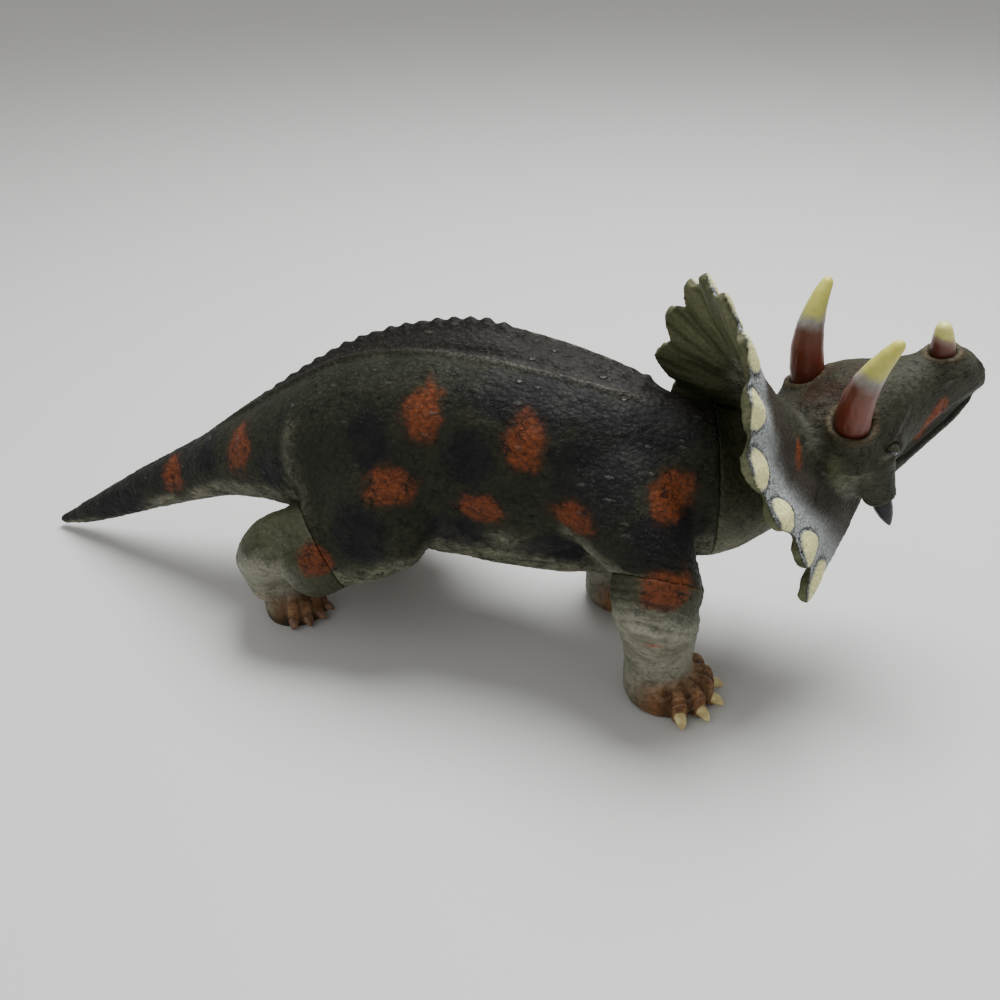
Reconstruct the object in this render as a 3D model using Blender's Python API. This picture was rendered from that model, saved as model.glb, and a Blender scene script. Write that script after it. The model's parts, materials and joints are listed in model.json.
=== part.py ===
"""A hollow soft-vinyl horned dinosaur figure, about 0.43 m long, in a walking pose.

Driving dimensions come first, in metres and degrees. +X runs from the tail to the head,
+Y to the animal's left and +Z up. A table whose name ends in share or shares holds
fractions of the named lengths that it follows.
"""
import math

import bmesh
import bpy
from mathutils import Matrix, Vector

# Trunk and tail
BODY_LENGTH = 0.340           # tail tip to neck seam, along X
BODY_HEIGHT = 0.140           # floor to the top of the back
BODY_WIDTH = 0.088            # widest part of the barrel
WALL = 0.0026                 # moulded wall of the trunk and the limbs
GAP = 0.0003                  # clearance between separate pieces
OVERRUN = 0.004               # how far a cutter or a joined shape runs past its face
SHARP_ANGLE = 46.0            # edges bent by more than this stay sharp
TRUNK_SIDES = 22
CAVITY_SIDES = 12
BAND_WIDTH = 0.0240           # roof-shaped band along the back, between its two ridges
BAND_DEPTH = 0.0100           # how deep the band's solid reaches into the trunk
BAND_RISE = 0.0003            # how far its edges stand over the trunk's top line
BAND_PEAK = 0.0062            # how far its middle stands over its edges
SCUTE_LENGTH = 0.0060         # one scute on the middle line of the back
SCUTE_RISE = 0.0012
SCUTE_COUNT = 28
SCUTE_SIDES = 6

# Neck socket and the flanged plug that turns in it
NECK_RADIUS = 0.0315
NECK_HOLE_RADIUS = 0.0160
NECK_FLANGE_WIDTH = 0.0040    # how far the flange reaches past the hole
NECK_REACH = 0.0540           # neck seam to the middle of the brow
FLANGE_THICKNESS = 0.0024
PLUG_WALL = 0.0030

# Leg sockets and their plugs
FRONT_SEAM_RADIUS = 0.0180
HIND_SEAM_RADIUS = 0.0215
LEG_HOLE_RADIUS = 0.0082
LEG_FLANGE_WIDTH = 0.0030
LEG_PLUG_WALL = 0.0022
STUMP_SIDES = 16
STUMP_RINGS = 6
LEG_RINGS = 8
LEG_HOLLOW_RINGS = 5

# Feet
FRONT_FOOT_LENGTH = 0.034     # the pad without its toes
HIND_FOOT_LENGTH = 0.031
FRONT_TOE_LENGTH = 0.0072     # how far a toe and its claw stand out past the pad
HIND_TOE_LENGTH = 0.0036
TOE_WIDTH = 0.0096
TOE_HEIGHT = 0.0135
TOE_SIDES = 8
TOE_CLEARANCE = 0.0004        # toes over the floor

# Head, in its own frame: X forward, Y left, Z up from the middle of the brow
HEAD_LENGTH = 0.086
HEAD_HEIGHT = 0.044
HEAD_WIDTH = 0.047
HEAD_YAW = 32.8               # degrees to the animal's left
HEAD_PITCH = 16.7             # degrees up
HEAD_ROLL = 7.0               # degrees, right side down
SKULL_WALL = 0.0035
SKULL_SIDES = 16
FRILL_WIDTH = 0.0919
FRILL_HEIGHT = 0.1412
FRILL_SWEEP = 0.0155          # how far the sides of the rim lie behind its top
FRILL_THICKNESS = 0.0028
SCALLOP_REACH = 0.0068        # how far a scallop stands out past the rim
SCALLOP_RISE = 0.0016         # how far a scallop's front face bulges
FRILL_RIDGE = 0.0012          # ridge on the back of the frill behind each scallop
SCALLOP_STEPS = 6             # facets across one scallop
SCALLOP_POINT = 1.5           # 1 gives a triangle, 2 a round scallop

# Horns, cheek spikes and eyes
BROW_HORN_RADIUS = 0.0068
BROW_HORN_LENGTH = 0.0400
NOSE_HORN_RADIUS = 0.0048
NOSE_HORN_LENGTH = 0.0125
CHEEK_SPIKE_RADIUS = 0.0040
CHEEK_SPIKE_LENGTH = 0.0115
SOCKET_DEPTH = 0.0036         # how deep a horn or a spike sits in its socket
SOCKET_RIM = 0.0018           # skin rim round a socket
EYE_RADIUS = 0.0046
EYELID = 0.0013
HORN_SIDES = 12

# Trunk: (along the body, top, underside, width, squareness, shift of its middle to the left)
TRUNK_SHARES = (
    (0.000, 0.040, 0.014, 0.040, 2.0, 0.00),
    (0.012, 0.062, 0.012, 0.075, 2.0, 0.00),
    (0.085, 0.176, 0.066, 0.150, 2.0, 0.00),
    (0.168, 0.312, 0.150, 0.250, 2.0, 0.00),
    (0.282, 0.478, 0.256, 0.390, 2.0, 0.00),
    (0.368, 0.618, 0.328, 0.560, 2.0, 0.00),
    (0.465, 0.775, 0.350, 0.800, 2.1, 0.00),
    (0.541, 0.882, 0.334, 0.930, 2.2, 0.00),
    (0.629, 0.950, 0.302, 1.000, 2.3, 0.00),
    (0.729, 0.982, 0.286, 1.000, 2.3, 0.00),
    (0.815, 0.957, 0.290, 0.965, 2.2, -0.03),
    (0.888, 0.929, 0.314, 0.810, 2.1, -0.11),
    (0.950, 0.880, 0.362, 0.650, 1.9, -0.12),
)
TRUNK_RINGS = 19
# Band: (along the body, width, height of its peak)
BAND_SHARES = (
    (0.300, 0.10, 0.06),
    (0.400, 0.36, 0.30),
    (0.541, 0.60, 0.65),
    (0.640, 0.85, 1.00),
    (0.729, 1.00, 1.00),
    (0.815, 0.72, 0.32),
    (0.888, 0.48, 0.24),
    (0.945, 0.16, 0.02),
)
BAND_RINGS = 18
# Scutes: (along the body, size), from the first to the last
SCUTE_SHARES = ((0.345, 0.50), (0.500, 0.78), (0.680, 1.00), (0.915, 1.05))
SCUTE_PROFILE_SHARES = ((-1.6, 1.00), (0.2, 0.84), (1.0, 0.26))
LEAST_HOLLOW_SHARE = 0.10     # of a stump's radius, where its hollow would vanish
HOLLOW_START_SHARE = 0.24     # along the body, the tail's solid end stops here
# Neck seam: centre as shares of body length, width and height, and its outward direction
NECK_SEAM_SHARES = (0.997, 0.023, 0.629)
NECK_AXIS_SHARES = (0.950, 0.300, 0.000)
# Brow middle from the seam centre, as shares of the neck's reach
BROW_SHARES = (0.769, 0.300, 0.575)
TAIL_TIP_SHARE = -0.653       # where the tail tip lies behind the frame, of the body length

# Stumps: (x, y, z) of the centre, then the fore-aft and sideways radii.
# x is a share of body length, y of half its width, z of its height, radii of the seam radius.
THIGH_SHARES = (
    (0.650, 0.300, 0.790, 0.300, 0.250),
    (0.641, 0.500, 0.700, 1.250, 0.700),
    (0.618, 0.740, 0.560, 1.600, 0.930),
    (0.584, 0.830, 0.445, 1.310, 0.960),
    (0.535, 0.864, 0.350, 1.000, 1.000),
)
THIGH_AXIS_SHARES = (-0.740, -0.560, -0.360)
SHOULDER_SHARES = (
    (0.885, 0.300, 0.860, 0.400, 0.250),
    (0.882, 0.560, 0.770, 1.250, 0.500),
    (0.908, 0.750, 0.655, 1.420, 0.780),
    (0.942, 0.885, 0.540, 1.220, 0.960),
    (0.969, 0.955, 0.457, 1.000, 1.000),
)
SHOULDER_AXIS_SHARES = (0.000, -0.616, -0.788)
LEFT_THIGH_SWING = 8.0       # degrees that the far thigh is ahead of the near one
LEFT_SHOULDER_SWING = -27.0   # degrees that the far shoulder is behind
LEFT_SHOULDER_SLIM_SHARE = 0.57  # of the near shoulder, where the turned head comes close
HIP_SHARES = (0.653, 0.0, 0.680)
SHOULDER_PIVOT_SHARES = (0.940, 0.0, 0.760)

# Round cap of a lower leg below its seam: (distance along the seam's axis, radius) of the seam radius
CAP_SHARES = ((0.00, 1.00), (0.20, 1.01), (0.46, 0.97), (0.70, 0.84), (0.87, 0.61), (0.97, 0.30))
# Shank: way down from the knee to the ankle, then the fore-aft radius, the sideways radius and
# the shift to the rear, of the seam radius
FRONT_LEG_SHARES = (
    (-0.24, 0.360, 0.360, 0.00),
    (-0.12, 0.640, 0.640, 0.00),
    (0.00, 0.900, 0.900, 0.00),
    (0.22, 0.960, 0.960, 0.00),
    (0.45, 0.900, 0.910, 0.00),
    (0.75, 0.800, 0.830, 0.00),
    (1.00, 0.780, 0.810, 0.00),
)
HIND_LEG_SHARES = (
    (-0.62, 0.200, 0.200, 0.34),
    (-0.48, 0.480, 0.440, 0.38),
    (-0.24, 0.820, 0.700, 0.39),
    (0.00, 0.960, 0.840, 0.37),
    (0.25, 0.920, 0.860, 0.27),
    (0.50, 0.810, 0.800, 0.19),
    (0.78, 0.700, 0.700, 0.12),
    (1.00, 0.680, 0.680, 0.00),
)
KNEE_SHARE = 0.50             # of the seam radius, knee beyond the seam along its axis
# Middle of the foot's pad, as shares of body length and half width
FRONT_RIGHT_FOOT_SHARES = (0.982, -0.690)
FRONT_LEFT_FOOT_SHARES = (0.882, 0.720)
HIND_RIGHT_FOOT_SHARES = (0.462, -0.617)
HIND_LEFT_FOOT_SHARES = (0.512, 0.600)
FRONT_FOOT_YAW = -2.0         # degrees, toes outward
HIND_FOOT_YAW = -27.0
FRONT_TOE_ANGLES = (-60.0, -31.0, -2.0, 27.0, 57.0)
HIND_TOE_ANGLES = (-39.0, -13.0, 13.0, 39.0)
FRONT_ANKLE_BACK_SHARE = 0.13     # of the foot's length, ankle behind the pad's middle
HIND_ANKLE_BACK_SHARE = 0.20
ANKLE_HEIGHT_SHARE = 0.100    # of the body height, top of the foot
# Foot pad: (height, size) as shares of the ankle height and of the foot's length
PAD_SHARES = ((0.66, 0.92), (0.34, 1.00), (0.08, 0.98), (0.00, 0.90))
# Toe: (place from the pad's middle, width, height) as shares
TOE_SHARES = (
    (0.34, 0.80, 1.12),
    (0.66, 1.00, 1.00),
    (0.83, 0.92, 0.72),
    (0.93, 0.60, 0.46),
    (1.00, 0.26, 0.20),
)

# Skull: (forward, top, lip line, half width, squareness) as shares of head length, height, width
SKULL_SHARES = (
    (-0.240, 0.020, -0.800, 0.420, 2.0),
    (-0.130, 0.110, -0.880, 0.520, 2.2),
    (0.000, 0.165, -0.850, 0.540, 2.3),
    (0.110, 0.215, -0.780, 0.505, 2.5),
    (0.220, 0.190, -0.670, 0.415, 2.6),
    (0.330, 0.120, -0.590, 0.320, 2.5),
    (0.450, 0.090, -0.550, 0.245, 2.4),
    (0.560, 0.090, -0.510, 0.190, 2.4),
    (0.660, 0.015, -0.500, 0.130, 2.3),
    (0.720, -0.110, -0.500, 0.080, 2.2),
    (0.755, -0.250, -0.490, 0.035, 2.0),
)
SKULL_RINGS = 14
HOLLOW_RINGS = 8
JAW_SHARES = (
    (-0.170, -0.600, -0.960, 0.360, 2.0),
    (-0.020, -0.560, -0.975, 0.400, 2.2),
    (0.140, -0.500, -0.930, 0.355, 2.3),
    (0.310, -0.460, -0.830, 0.275, 2.3),
    (0.470, -0.430, -0.730, 0.200, 2.3),
    (0.600, -0.420, -0.660, 0.130, 2.2),
    (0.680, -0.430, -0.580, 0.060, 2.0),
)
JAW_RINGS = 8
# Neck: (share of the way from seam to skull, radius share)
NECK_SHARES = ((0.00, 1.000), (0.08, 0.975), (0.35, 0.820), (0.62, 0.730), (0.85, 0.690), (1.00, 0.600))
NECK_RINGS = 7
NECK_END_SHARES = (-0.130, 0.0, -0.370)  # in the head's frame, of head length, width and height

# Frill, in the head's frame: rim ellipse centre and lean, root ellipse inside the skull
FRILL_CENTRE_SHARES = (-0.339, 0.0, -0.129)   # of head length, width and height
FRILL_LEAN = 6.4                              # degrees
# Degrees from the top of the rim to the notches between the scallops; the last is its lower corner
NOTCH_ANGLES = (0.0, 19.3, 38.8, 57.0, 78.5, 98.0, 116.5, 133.0)
# Root inside the skull: (way from the top to the lower corner, forward, half width, height,
# forward pull of the sheet's curve)
FRILL_ROOT_SHARES = (
    (0.00, -0.140, 0.000, -0.080, 0.78),
    (0.35, -0.135, 0.340, -0.180, 0.74),
    (0.62, -0.110, 0.420, -0.380, 0.70),
    (0.82, -0.030, 0.400, -0.680, 0.62),
    (1.00, 0.030, 0.340, -0.910, 0.46),
)
# Rim: (way from the top to the lower corner, size, sweep)
RIM_SHARES = (
    (0.000, 1.010, -0.01),
    (0.168, 0.983, -0.04),
    (0.335, 0.961, 0.45),
    (0.492, 0.915, 1.00),
    (0.650, 0.912, 0.87),
    (0.817, 0.964, 0.46),
    (1.000, 1.087, 0.62),
)
FRILL_BELLY_SHARE = 0.52                      # outward pull of the sheet's curve
FRILL_ROWS_SHARES = (0.0, 0.30, 0.58, 0.82, 1.0)
FRILL_THICKNESS_SHARES = (1.2, 0.7)           # of its thickness, at the root and at the rim
FRILL_RIDGE_SHARES = (2.0, 0.4)               # of the ridge's height, at the root and at the rim

# Horns and eyes in the head's frame, as shares of head length, half width and height
BROW_HORN_SHARES = (0.000, 0.740, 0.045)
BROW_AXIS_SHARES = (0.180, 0.260, 0.950)
BROW_TIP_SHARES = (0.430, 0.215, 0.875)       # of the horn's length
BROW_BEND_SHARES = (0.020, 0.090, 0.520)
NOSE_HORN_SHARES = (0.552, 0.000, 0.085)
NOSE_AXIS_SHARES = (0.060, 0.000, 1.000)
CHEEK_SPIKE_SHARES = (0.064, 1.060, -0.790)
CHEEK_AXIS_SHARES = (0.080, 0.330, -0.940)
EYE_SHARES = (0.138, 0.890, -0.330)
# How deep a socket's rim reaches into the head, of the head's height
BROW_BOSS_SHARE = 0.30
CHEEK_BOSS_SHARE = 0.46
NOSE_BOSS_SHARE = 0.15
BOSS_FLARE_SHARES = ((1.00, 1.90), (0.55, 1.42), (0.22, 1.12))  # depth and radius of the rim's skirt
# Taper: (share of the length, share of the base radius)
BROW_TAPER_SHARES = ((0.00, 1.00), (0.12, 1.00), (0.32, 0.93), (0.52, 0.80), (0.70, 0.62),
                     (0.85, 0.48), (0.96, 0.34), (1.00, 0.14))
NOSE_TAPER_SHARES = ((0.00, 1.00), (0.18, 0.97), (0.45, 0.86), (0.70, 0.74), (0.88, 0.60),
                     (0.97, 0.38), (1.00, 0.12))
SPIKE_TAPER_SHARES = ((0.00, 1.00), (0.25, 0.93), (0.55, 0.72), (0.80, 0.42), (1.00, 0.10))


def clear_scene():
    for item in list(bpy.data.objects):
        bpy.data.objects.remove(item, do_unlink=True)


def make_material(name, colour, roughness):
    material = bpy.data.materials.new(name)
    material.use_nodes = True
    shader = material.node_tree.nodes["Principled BSDF"]
    shader.inputs["Base Color"].default_value = (*colour, 1.0)
    shader.inputs["Roughness"].default_value = roughness
    shader.inputs["Metallic"].default_value = 0.0
    return material


def scaled(shares, *sizes):
    """Shares times the sizes that they follow."""
    return Vector([share * size for share, size in zip(shares, sizes)])


def unit(shares):
    return Vector(shares).normalized()


def mixed(ends, place):
    """The value between two ends at a place from 0 to 1."""
    return ends[0] + (ends[1] - ends[0]) * place


def row_at(rows, place):
    """A row read from a smooth curve through the table's rows, at a place in the first column."""
    index = max(i for i in range(len(rows) - 1) if rows[i][0] <= place or i == 0)
    row_a, row_b = rows[index], rows[index + 1]
    before = rows[max(index - 1, 0)]
    after = rows[min(index + 2, len(rows) - 1)]
    span = row_b[0] - row_a[0]
    t = (place - row_a[0]) / span
    values = [place]
    for column in range(1, len(row_a)):
        slope_a = (row_b[column] - before[column]) / (row_b[0] - before[0]) * span
        slope_b = (after[column] - row_a[column]) / (after[0] - row_a[0]) * span
        values.append(
            row_a[column] * (2 * t ** 3 - 3 * t ** 2 + 1)
            + slope_a * (t ** 3 - 2 * t ** 2 + t)
            + row_b[column] * (3 * t ** 2 - 2 * t ** 3)
            + slope_b * (t ** 3 - t ** 2)
        )
    return values


def blend_rows(rows, count):
    """Rows of the table's smooth curve, evenly along the first column."""
    first, last = rows[0][0], rows[-1][0]
    return [row_at(rows, first + (last - first) * step / (count - 1)) for step in range(count)]


def signed_power(value, power):
    return math.copysign(abs(value) ** power, value)


def ring(centre, side, up, sides, squareness=2.0):
    """Points of a squarish ellipse: side and up are its half axes."""
    points = []
    for step in range(sides):
        angle = 2 * math.pi * step / sides
        across = signed_power(math.cos(angle), 2 / squareness)
        rise = signed_power(math.sin(angle), 2 / squareness)
        points.append(centre + side * across + up * rise)
    return points


def solid_from_rings(name, rings):
    """A closed skin over rings with equal numbers of points, with a fan on each end."""
    shape = bmesh.new()
    loops = [[shape.verts.new(point) for point in points] for points in rings]
    for loop_a, loop_b in zip(loops, loops[1:]):
        for i in range(len(loop_a)):
            j = (i + 1) % len(loop_a)
            shape.faces.new((loop_a[i], loop_a[j], loop_b[j], loop_b[i]))
    for loop in (loops[0], loops[-1]):
        middle = shape.verts.new(sum((vert.co for vert in loop), Vector()) / len(loop))
        for i in range(len(loop)):
            shape.faces.new((loop[i], loop[(i + 1) % len(loop)], middle))
    bmesh.ops.recalc_face_normals(shape, faces=shape.faces)
    return object_from_bmesh(name, shape)


def object_from_bmesh(name, shape):
    mesh = bpy.data.meshes.new(name)
    shape.to_mesh(mesh)
    shape.free()
    item = bpy.data.objects.new(name, mesh)
    bpy.context.scene.collection.objects.link(item)
    return item


def cross_axes(direction, forward=Vector((1, 0, 0))):
    """Two unit axes square to a direction, the first as near to forward as it can be."""
    first = (forward - direction * forward.dot(direction)).normalized()
    return first, direction.cross(first).normalized()


def turned(name, start, direction, profile, sides):
    """A round solid: profile holds (distance along direction, radius)."""
    forward = Vector((0, 1, 0)) if abs(direction.x) > 0.8 else Vector((1, 0, 0))
    first, second = cross_axes(direction, forward)
    rings = [ring(start + direction * along, first * radius, second * radius, sides)
             for along, radius in profile]
    return solid_from_rings(name, rings)


def ball(name, centre, radius, sides):
    shape = bmesh.new()
    bmesh.ops.create_uvsphere(shape, u_segments=sides, v_segments=sides // 2, radius=radius,
                              matrix=Matrix.Translation(centre))
    return object_from_bmesh(name, shape)


def combine(target, tool, operation):
    """Joins a shape to the target, or cuts it away, and removes the tool."""
    modifier = target.modifiers.new("combine", "BOOLEAN")
    modifier.operation = operation
    modifier.solver = "MANIFOLD"
    modifier.object = tool
    graph = bpy.context.evaluated_depsgraph_get()
    mesh = bpy.data.meshes.new_from_object(target.evaluated_get(graph))
    target.modifiers.clear()
    old_mesh, tool_mesh = target.data, tool.data
    target.data = mesh
    bpy.data.objects.remove(tool, do_unlink=True)
    bpy.data.meshes.remove(old_mesh)
    bpy.data.meshes.remove(tool_mesh)


def join(target, *tools):
    for tool in tools:
        combine(target, tool, "UNION")


def cut(target, *tools):
    for tool in tools:
        combine(target, tool, "DIFFERENCE")


def island_of(start):
    """All faces that can be reached from a face across shared edges."""
    island, waiting = {start}, [start]
    while waiting:
        face = waiting.pop()
        for edge in face.edges:
            for neighbour in edge.link_faces:
                if neighbour not in island:
                    island.add(neighbour)
                    waiting.append(neighbour)
    return island


def drop_slivers(item):
    """Keeps the largest connected skin, without the flat slivers that cuts leave."""
    shape = bmesh.new()
    shape.from_mesh(item.data)
    left = list(shape.faces)
    islands = []
    while left:
        island = island_of(left[0])
        islands.append(island)
        left = [face for face in left if face not in island]
    largest = max(islands, key=len)
    slivers = [face for face in shape.faces if face not in largest]
    bmesh.ops.delete(shape, geom=slivers, context="FACES")
    shape.to_mesh(item.data)
    shape.free()


def finish(item, name, material, origin, parent):
    """Names a piece, shades it smooth and puts its origin on its joint or seat."""
    drop_slivers(item)
    item.name = name
    item.data.name = name
    item.data.transform(Matrix.Translation(-origin))
    item.data.materials.clear()
    item.data.materials.append(material)
    item.data.shade_smooth()
    item.data.set_sharp_from_angle(angle=math.radians(SHARP_ANGLE))
    item.parent = parent
    item.location = origin - (parent_origin(parent))
    return item


def parent_origin(parent):
    place = Vector()
    while parent is not None:
        place += parent.location
        parent = parent.parent
    return place


def body_point(shares):
    """A point of the body frame from shares of its length, half width and height."""
    along = (shares[0] + TAIL_TIP_SHARE) * BODY_LENGTH
    return Vector((along, shares[1] * BODY_WIDTH / 2, shares[2] * BODY_HEIGHT))


NECK_SEAM = body_point(NECK_SEAM_SHARES)
NECK_AXIS = unit(NECK_AXIS_SHARES)


def stump_frames(shares, axis_shares, seam_radius, left, pivot_shares, swing, slim):
    """Centres, directions and radii of a stump's rings, from the trunk out to its seam."""
    mirror = 1 if left else -1
    pivot = body_point(pivot_shares)
    centres = []
    for i, row in enumerate(shares):
        turn = Matrix.Rotation(math.radians(-swing * i / (len(shares) - 1)), 3, "Y")
        centre = body_point((row[0], row[1] * mirror, row[2]))
        flat = Vector((pivot.x, centre.y, pivot.z))
        centres.append(flat + turn @ (centre - flat))
    axis = turn @ unit((axis_shares[0], -axis_shares[1] * mirror, axis_shares[2]))
    frames = []
    for i, (centre, row) in enumerate(zip(centres, shares)):
        if i == len(shares) - 1:
            direction = axis
        else:
            direction = (centres[i + 1] - centres[max(i - 1, 0)]).normalized()
            direction = direction.lerp(axis, i / (len(shares) - 1)).normalized()
        width = 1 - (1 - slim) * min(1, (len(shares) - 1 - i) / 2)
        frames.append((centre, direction, row[3] * width * seam_radius, row[4] * width * seam_radius))
    return frames


def stump_solid(name, frames, inset, sides):
    """The outer form of a stump, or its hollow when inset is over zero."""
    rings = []
    rows = blend_frames(frames, STUMP_RINGS)
    for i, (centre, direction, fore, side) in enumerate(rows):
        first, second = cross_axes(direction)
        fore_radius = max(fore - inset, fore * LEAST_HOLLOW_SHARE)
        side_radius = max(side - inset, side * LEAST_HOLLOW_SHARE)
        back = direction * inset if i == len(rows) - 1 else Vector()
        rings.append(ring(centre - back, first * fore_radius, second * side_radius, sides))
    return solid_from_rings(name, rings)


def blend_frames(frames, count):
    rows = [(i, *centre, *direction, fore, side)
            for i, (centre, direction, fore, side) in enumerate(frames)]
    result = []
    for row in blend_rows(rows, count):
        result.append((Vector(row[1:4]), Vector(row[4:7]).normalized(), row[7], row[8]))
    return result


def trunk_rings(inset, sides, first_share):
    """Rings from the tail to the neck, narrowed by inset, ending square to the neck's axis."""
    rings = []
    for along, top, under, width, squareness, shift in blend_rows(TRUNK_SHARES, TRUNK_RINGS):
        half_height = (top - under) * BODY_HEIGHT / 2 - inset
        half_width = width * BODY_WIDTH / 2 - inset
        if along < first_share:
            continue
        centre = body_point((along, shift, (top + under) / 2))
        side, up = Vector((0, half_width, 0)), Vector((0, 0, half_height))
        rings.append(ring(centre, side, up, sides, squareness))
    side = Vector((0, 1, 0))
    side = (side - NECK_AXIS * side.dot(NECK_AXIS)).normalized()
    up = NECK_AXIS.cross(side)
    end = NECK_SEAM - NECK_AXIS * inset
    lead = NECK_SEAM - NECK_AXIS * (inset + OVERRUN)
    lead_radius = NECK_RADIUS - inset
    rings.append(ring(lead, side * lead_radius, up * lead_radius, sides))
    rings.append(ring(end, side * (NECK_RADIUS - inset), up * (NECK_RADIUS - inset), sides))
    return rings


def band_rows(count):
    """(along, half width, edge point, peak point) of the band along the back."""
    trunk = blend_rows(TRUNK_SHARES, TRUNK_RINGS * SCUTE_COUNT)
    rows = []
    for along, width, height in blend_rows(BAND_SHARES, count):
        nearest = min(trunk, key=lambda row: abs(row[0] - along))
        edge = body_point((along, nearest[5], nearest[1])) + Vector((0, 0, BAND_RISE))
        peak = edge + Vector((0, 0, height * BAND_PEAK))
        rows.append((along, width * BAND_WIDTH / 2, edge, peak))
    return rows


def back_band():
    """The roof-shaped band along the back; its edges are the two ridges beside the scutes."""
    rings = []
    for along, half_width, edge, peak in band_rows(BAND_RINGS):
        half = Vector((0, half_width, 0))
        root = edge - Vector((0, 0, BAND_DEPTH))
        rings.append([root - half, root + half, edge + half, peak, edge - half])
    return solid_from_rings("band", rings)


def scute_tops():
    """Low rounded scutes in a row on the band's peak, larger toward the neck."""
    rows = band_rows(BAND_RINGS * SCUTE_COUNT)
    scutes = []
    for along, size in blend_rows(SCUTE_SHARES, SCUTE_COUNT):
        peak = min(rows, key=lambda row: abs(row[0] - along))[3]
        profile = [(rise * SCUTE_RISE * size, width * SCUTE_LENGTH / 2 * size)
                   for rise, width in SCUTE_PROFILE_SHARES]
        scutes.append(turned("scute", peak, Vector((0, 0, 1)), profile, SCUTE_SIDES))
    return scutes


def build_body(material, figure, stumps):
    body = solid_from_rings("body", trunk_rings(0, TRUNK_SIDES, 0))
    hollow = solid_from_rings("hollow", trunk_rings(WALL, CAVITY_SIDES, HOLLOW_START_SHARE))
    join(body, back_band(), *scute_tops())
    for stump in stumps:
        join(body, stump_solid("stump", stump["frames"], 0, STUMP_SIDES))
        join(hollow, stump_solid("stump_hollow", stump["frames"], WALL, CAVITY_SIDES))
    cut(body, hollow)
    for stump in stumps:
        cut(body, cap_clearance(stump))
        profile = ((-WALL - OVERRUN, LEG_HOLE_RADIUS), (OVERRUN, LEG_HOLE_RADIUS))
        cut(body, turned("hole", stump["seam"], stump["axis"], profile, STUMP_SIDES))
    profile = ((-WALL - OVERRUN, NECK_HOLE_RADIUS), (OVERRUN, NECK_HOLE_RADIUS))
    cut(body, turned("hole", NECK_SEAM, NECK_AXIS, profile, TRUNK_SIDES))
    return finish(body, "body_shell", material, Vector(), figure)


def plug(name, seam, axis, hole_radius, flange_width, sides):
    """A neck that passes through the socket wall and the flange behind it."""
    neck_radius = hole_radius - GAP
    behind = WALL + GAP
    profile = (
        (-behind - FLANGE_THICKNESS, hole_radius + flange_width - GAP),
        (-behind, hole_radius + flange_width),
        (-behind, neck_radius),
        (GAP + OVERRUN / 4, neck_radius),
    )
    return turned(name, seam, axis, profile, sides)


def plug_bore(seam, axis, hole_radius, plug_wall, reach, sides):
    radius = hole_radius - GAP - plug_wall
    start = -(WALL + GAP + FLANGE_THICKNESS + OVERRUN)
    return turned("bore", seam, axis, ((start, radius), (reach, radius)), sides)


def curve_point(ends, t):
    a, b, c, d = ends
    point = a * (1 - t) ** 3 + b * 3 * t * (1 - t) ** 2 + c * 3 * t ** 2 * (1 - t) + d * t ** 3
    slope = (b - a) * 3 * (1 - t) ** 2 + (c - b) * 6 * t * (1 - t) + (d - c) * 3 * t ** 2
    return point, slope.normalized()


def toe_solid(centre, direction, reach):
    """A ridged toe that ends in a short claw, resting just over the floor."""
    side = Vector((0, 0, 1)).cross(direction)
    rings = []
    for place, width, height in TOE_SHARES:
        half_height = height * TOE_HEIGHT / 2
        middle = centre + direction * (place * reach) + Vector((0, 0, TOE_CLEARANCE + half_height))
        half_width = side * (width * TOE_WIDTH / 2)
        rings.append(ring(middle, half_width, Vector((0, 0, half_height)), TOE_SIDES))
    return solid_from_rings("toe", rings)


def leg_cap(name, stump, inset, sides):
    """The round end of the calf below the seam's face."""
    radius = stump["radius"]
    profile = [(GAP + inset, radius - inset)]
    for distance, share in CAP_SHARES[1:]:
        along = GAP + distance * radius - inset
        if along > GAP + inset:
            profile.append((along, max(share * radius - inset, LEAST_HOLLOW_SHARE * radius)))
    return turned(name, stump["seam"], stump["axis"], profile, sides)


def shank_rings(stump, leg, inset, sides):
    """Level rings from over the knee down to the ankle, leaning from one to the other."""
    ankle = leg["ankle"]
    knee = stump["seam"] + stump["axis"] * (KNEE_SHARE * stump["radius"])
    rows = blend_rows(leg["shares"], LEG_RINGS)
    if inset:
        rows = blend_rows(leg["shares"][1:], LEG_HOLLOW_RINGS)
    rings = []
    for way, fore, side, back in rows:
        lean = max(way * (2 - way), 0)
        centre = knee.lerp(ankle, lean) - Vector((back * stump["radius"], 0, 0))
        centre.z = knee.z + (ankle.z - knee.z) * way
        fore_half = Vector((fore * stump["radius"] - inset, 0, 0))
        side_half = Vector((0, inset - side * stump["radius"], 0))
        rings.append(ring(centre, fore_half, side_half, sides))
    return rings


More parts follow.
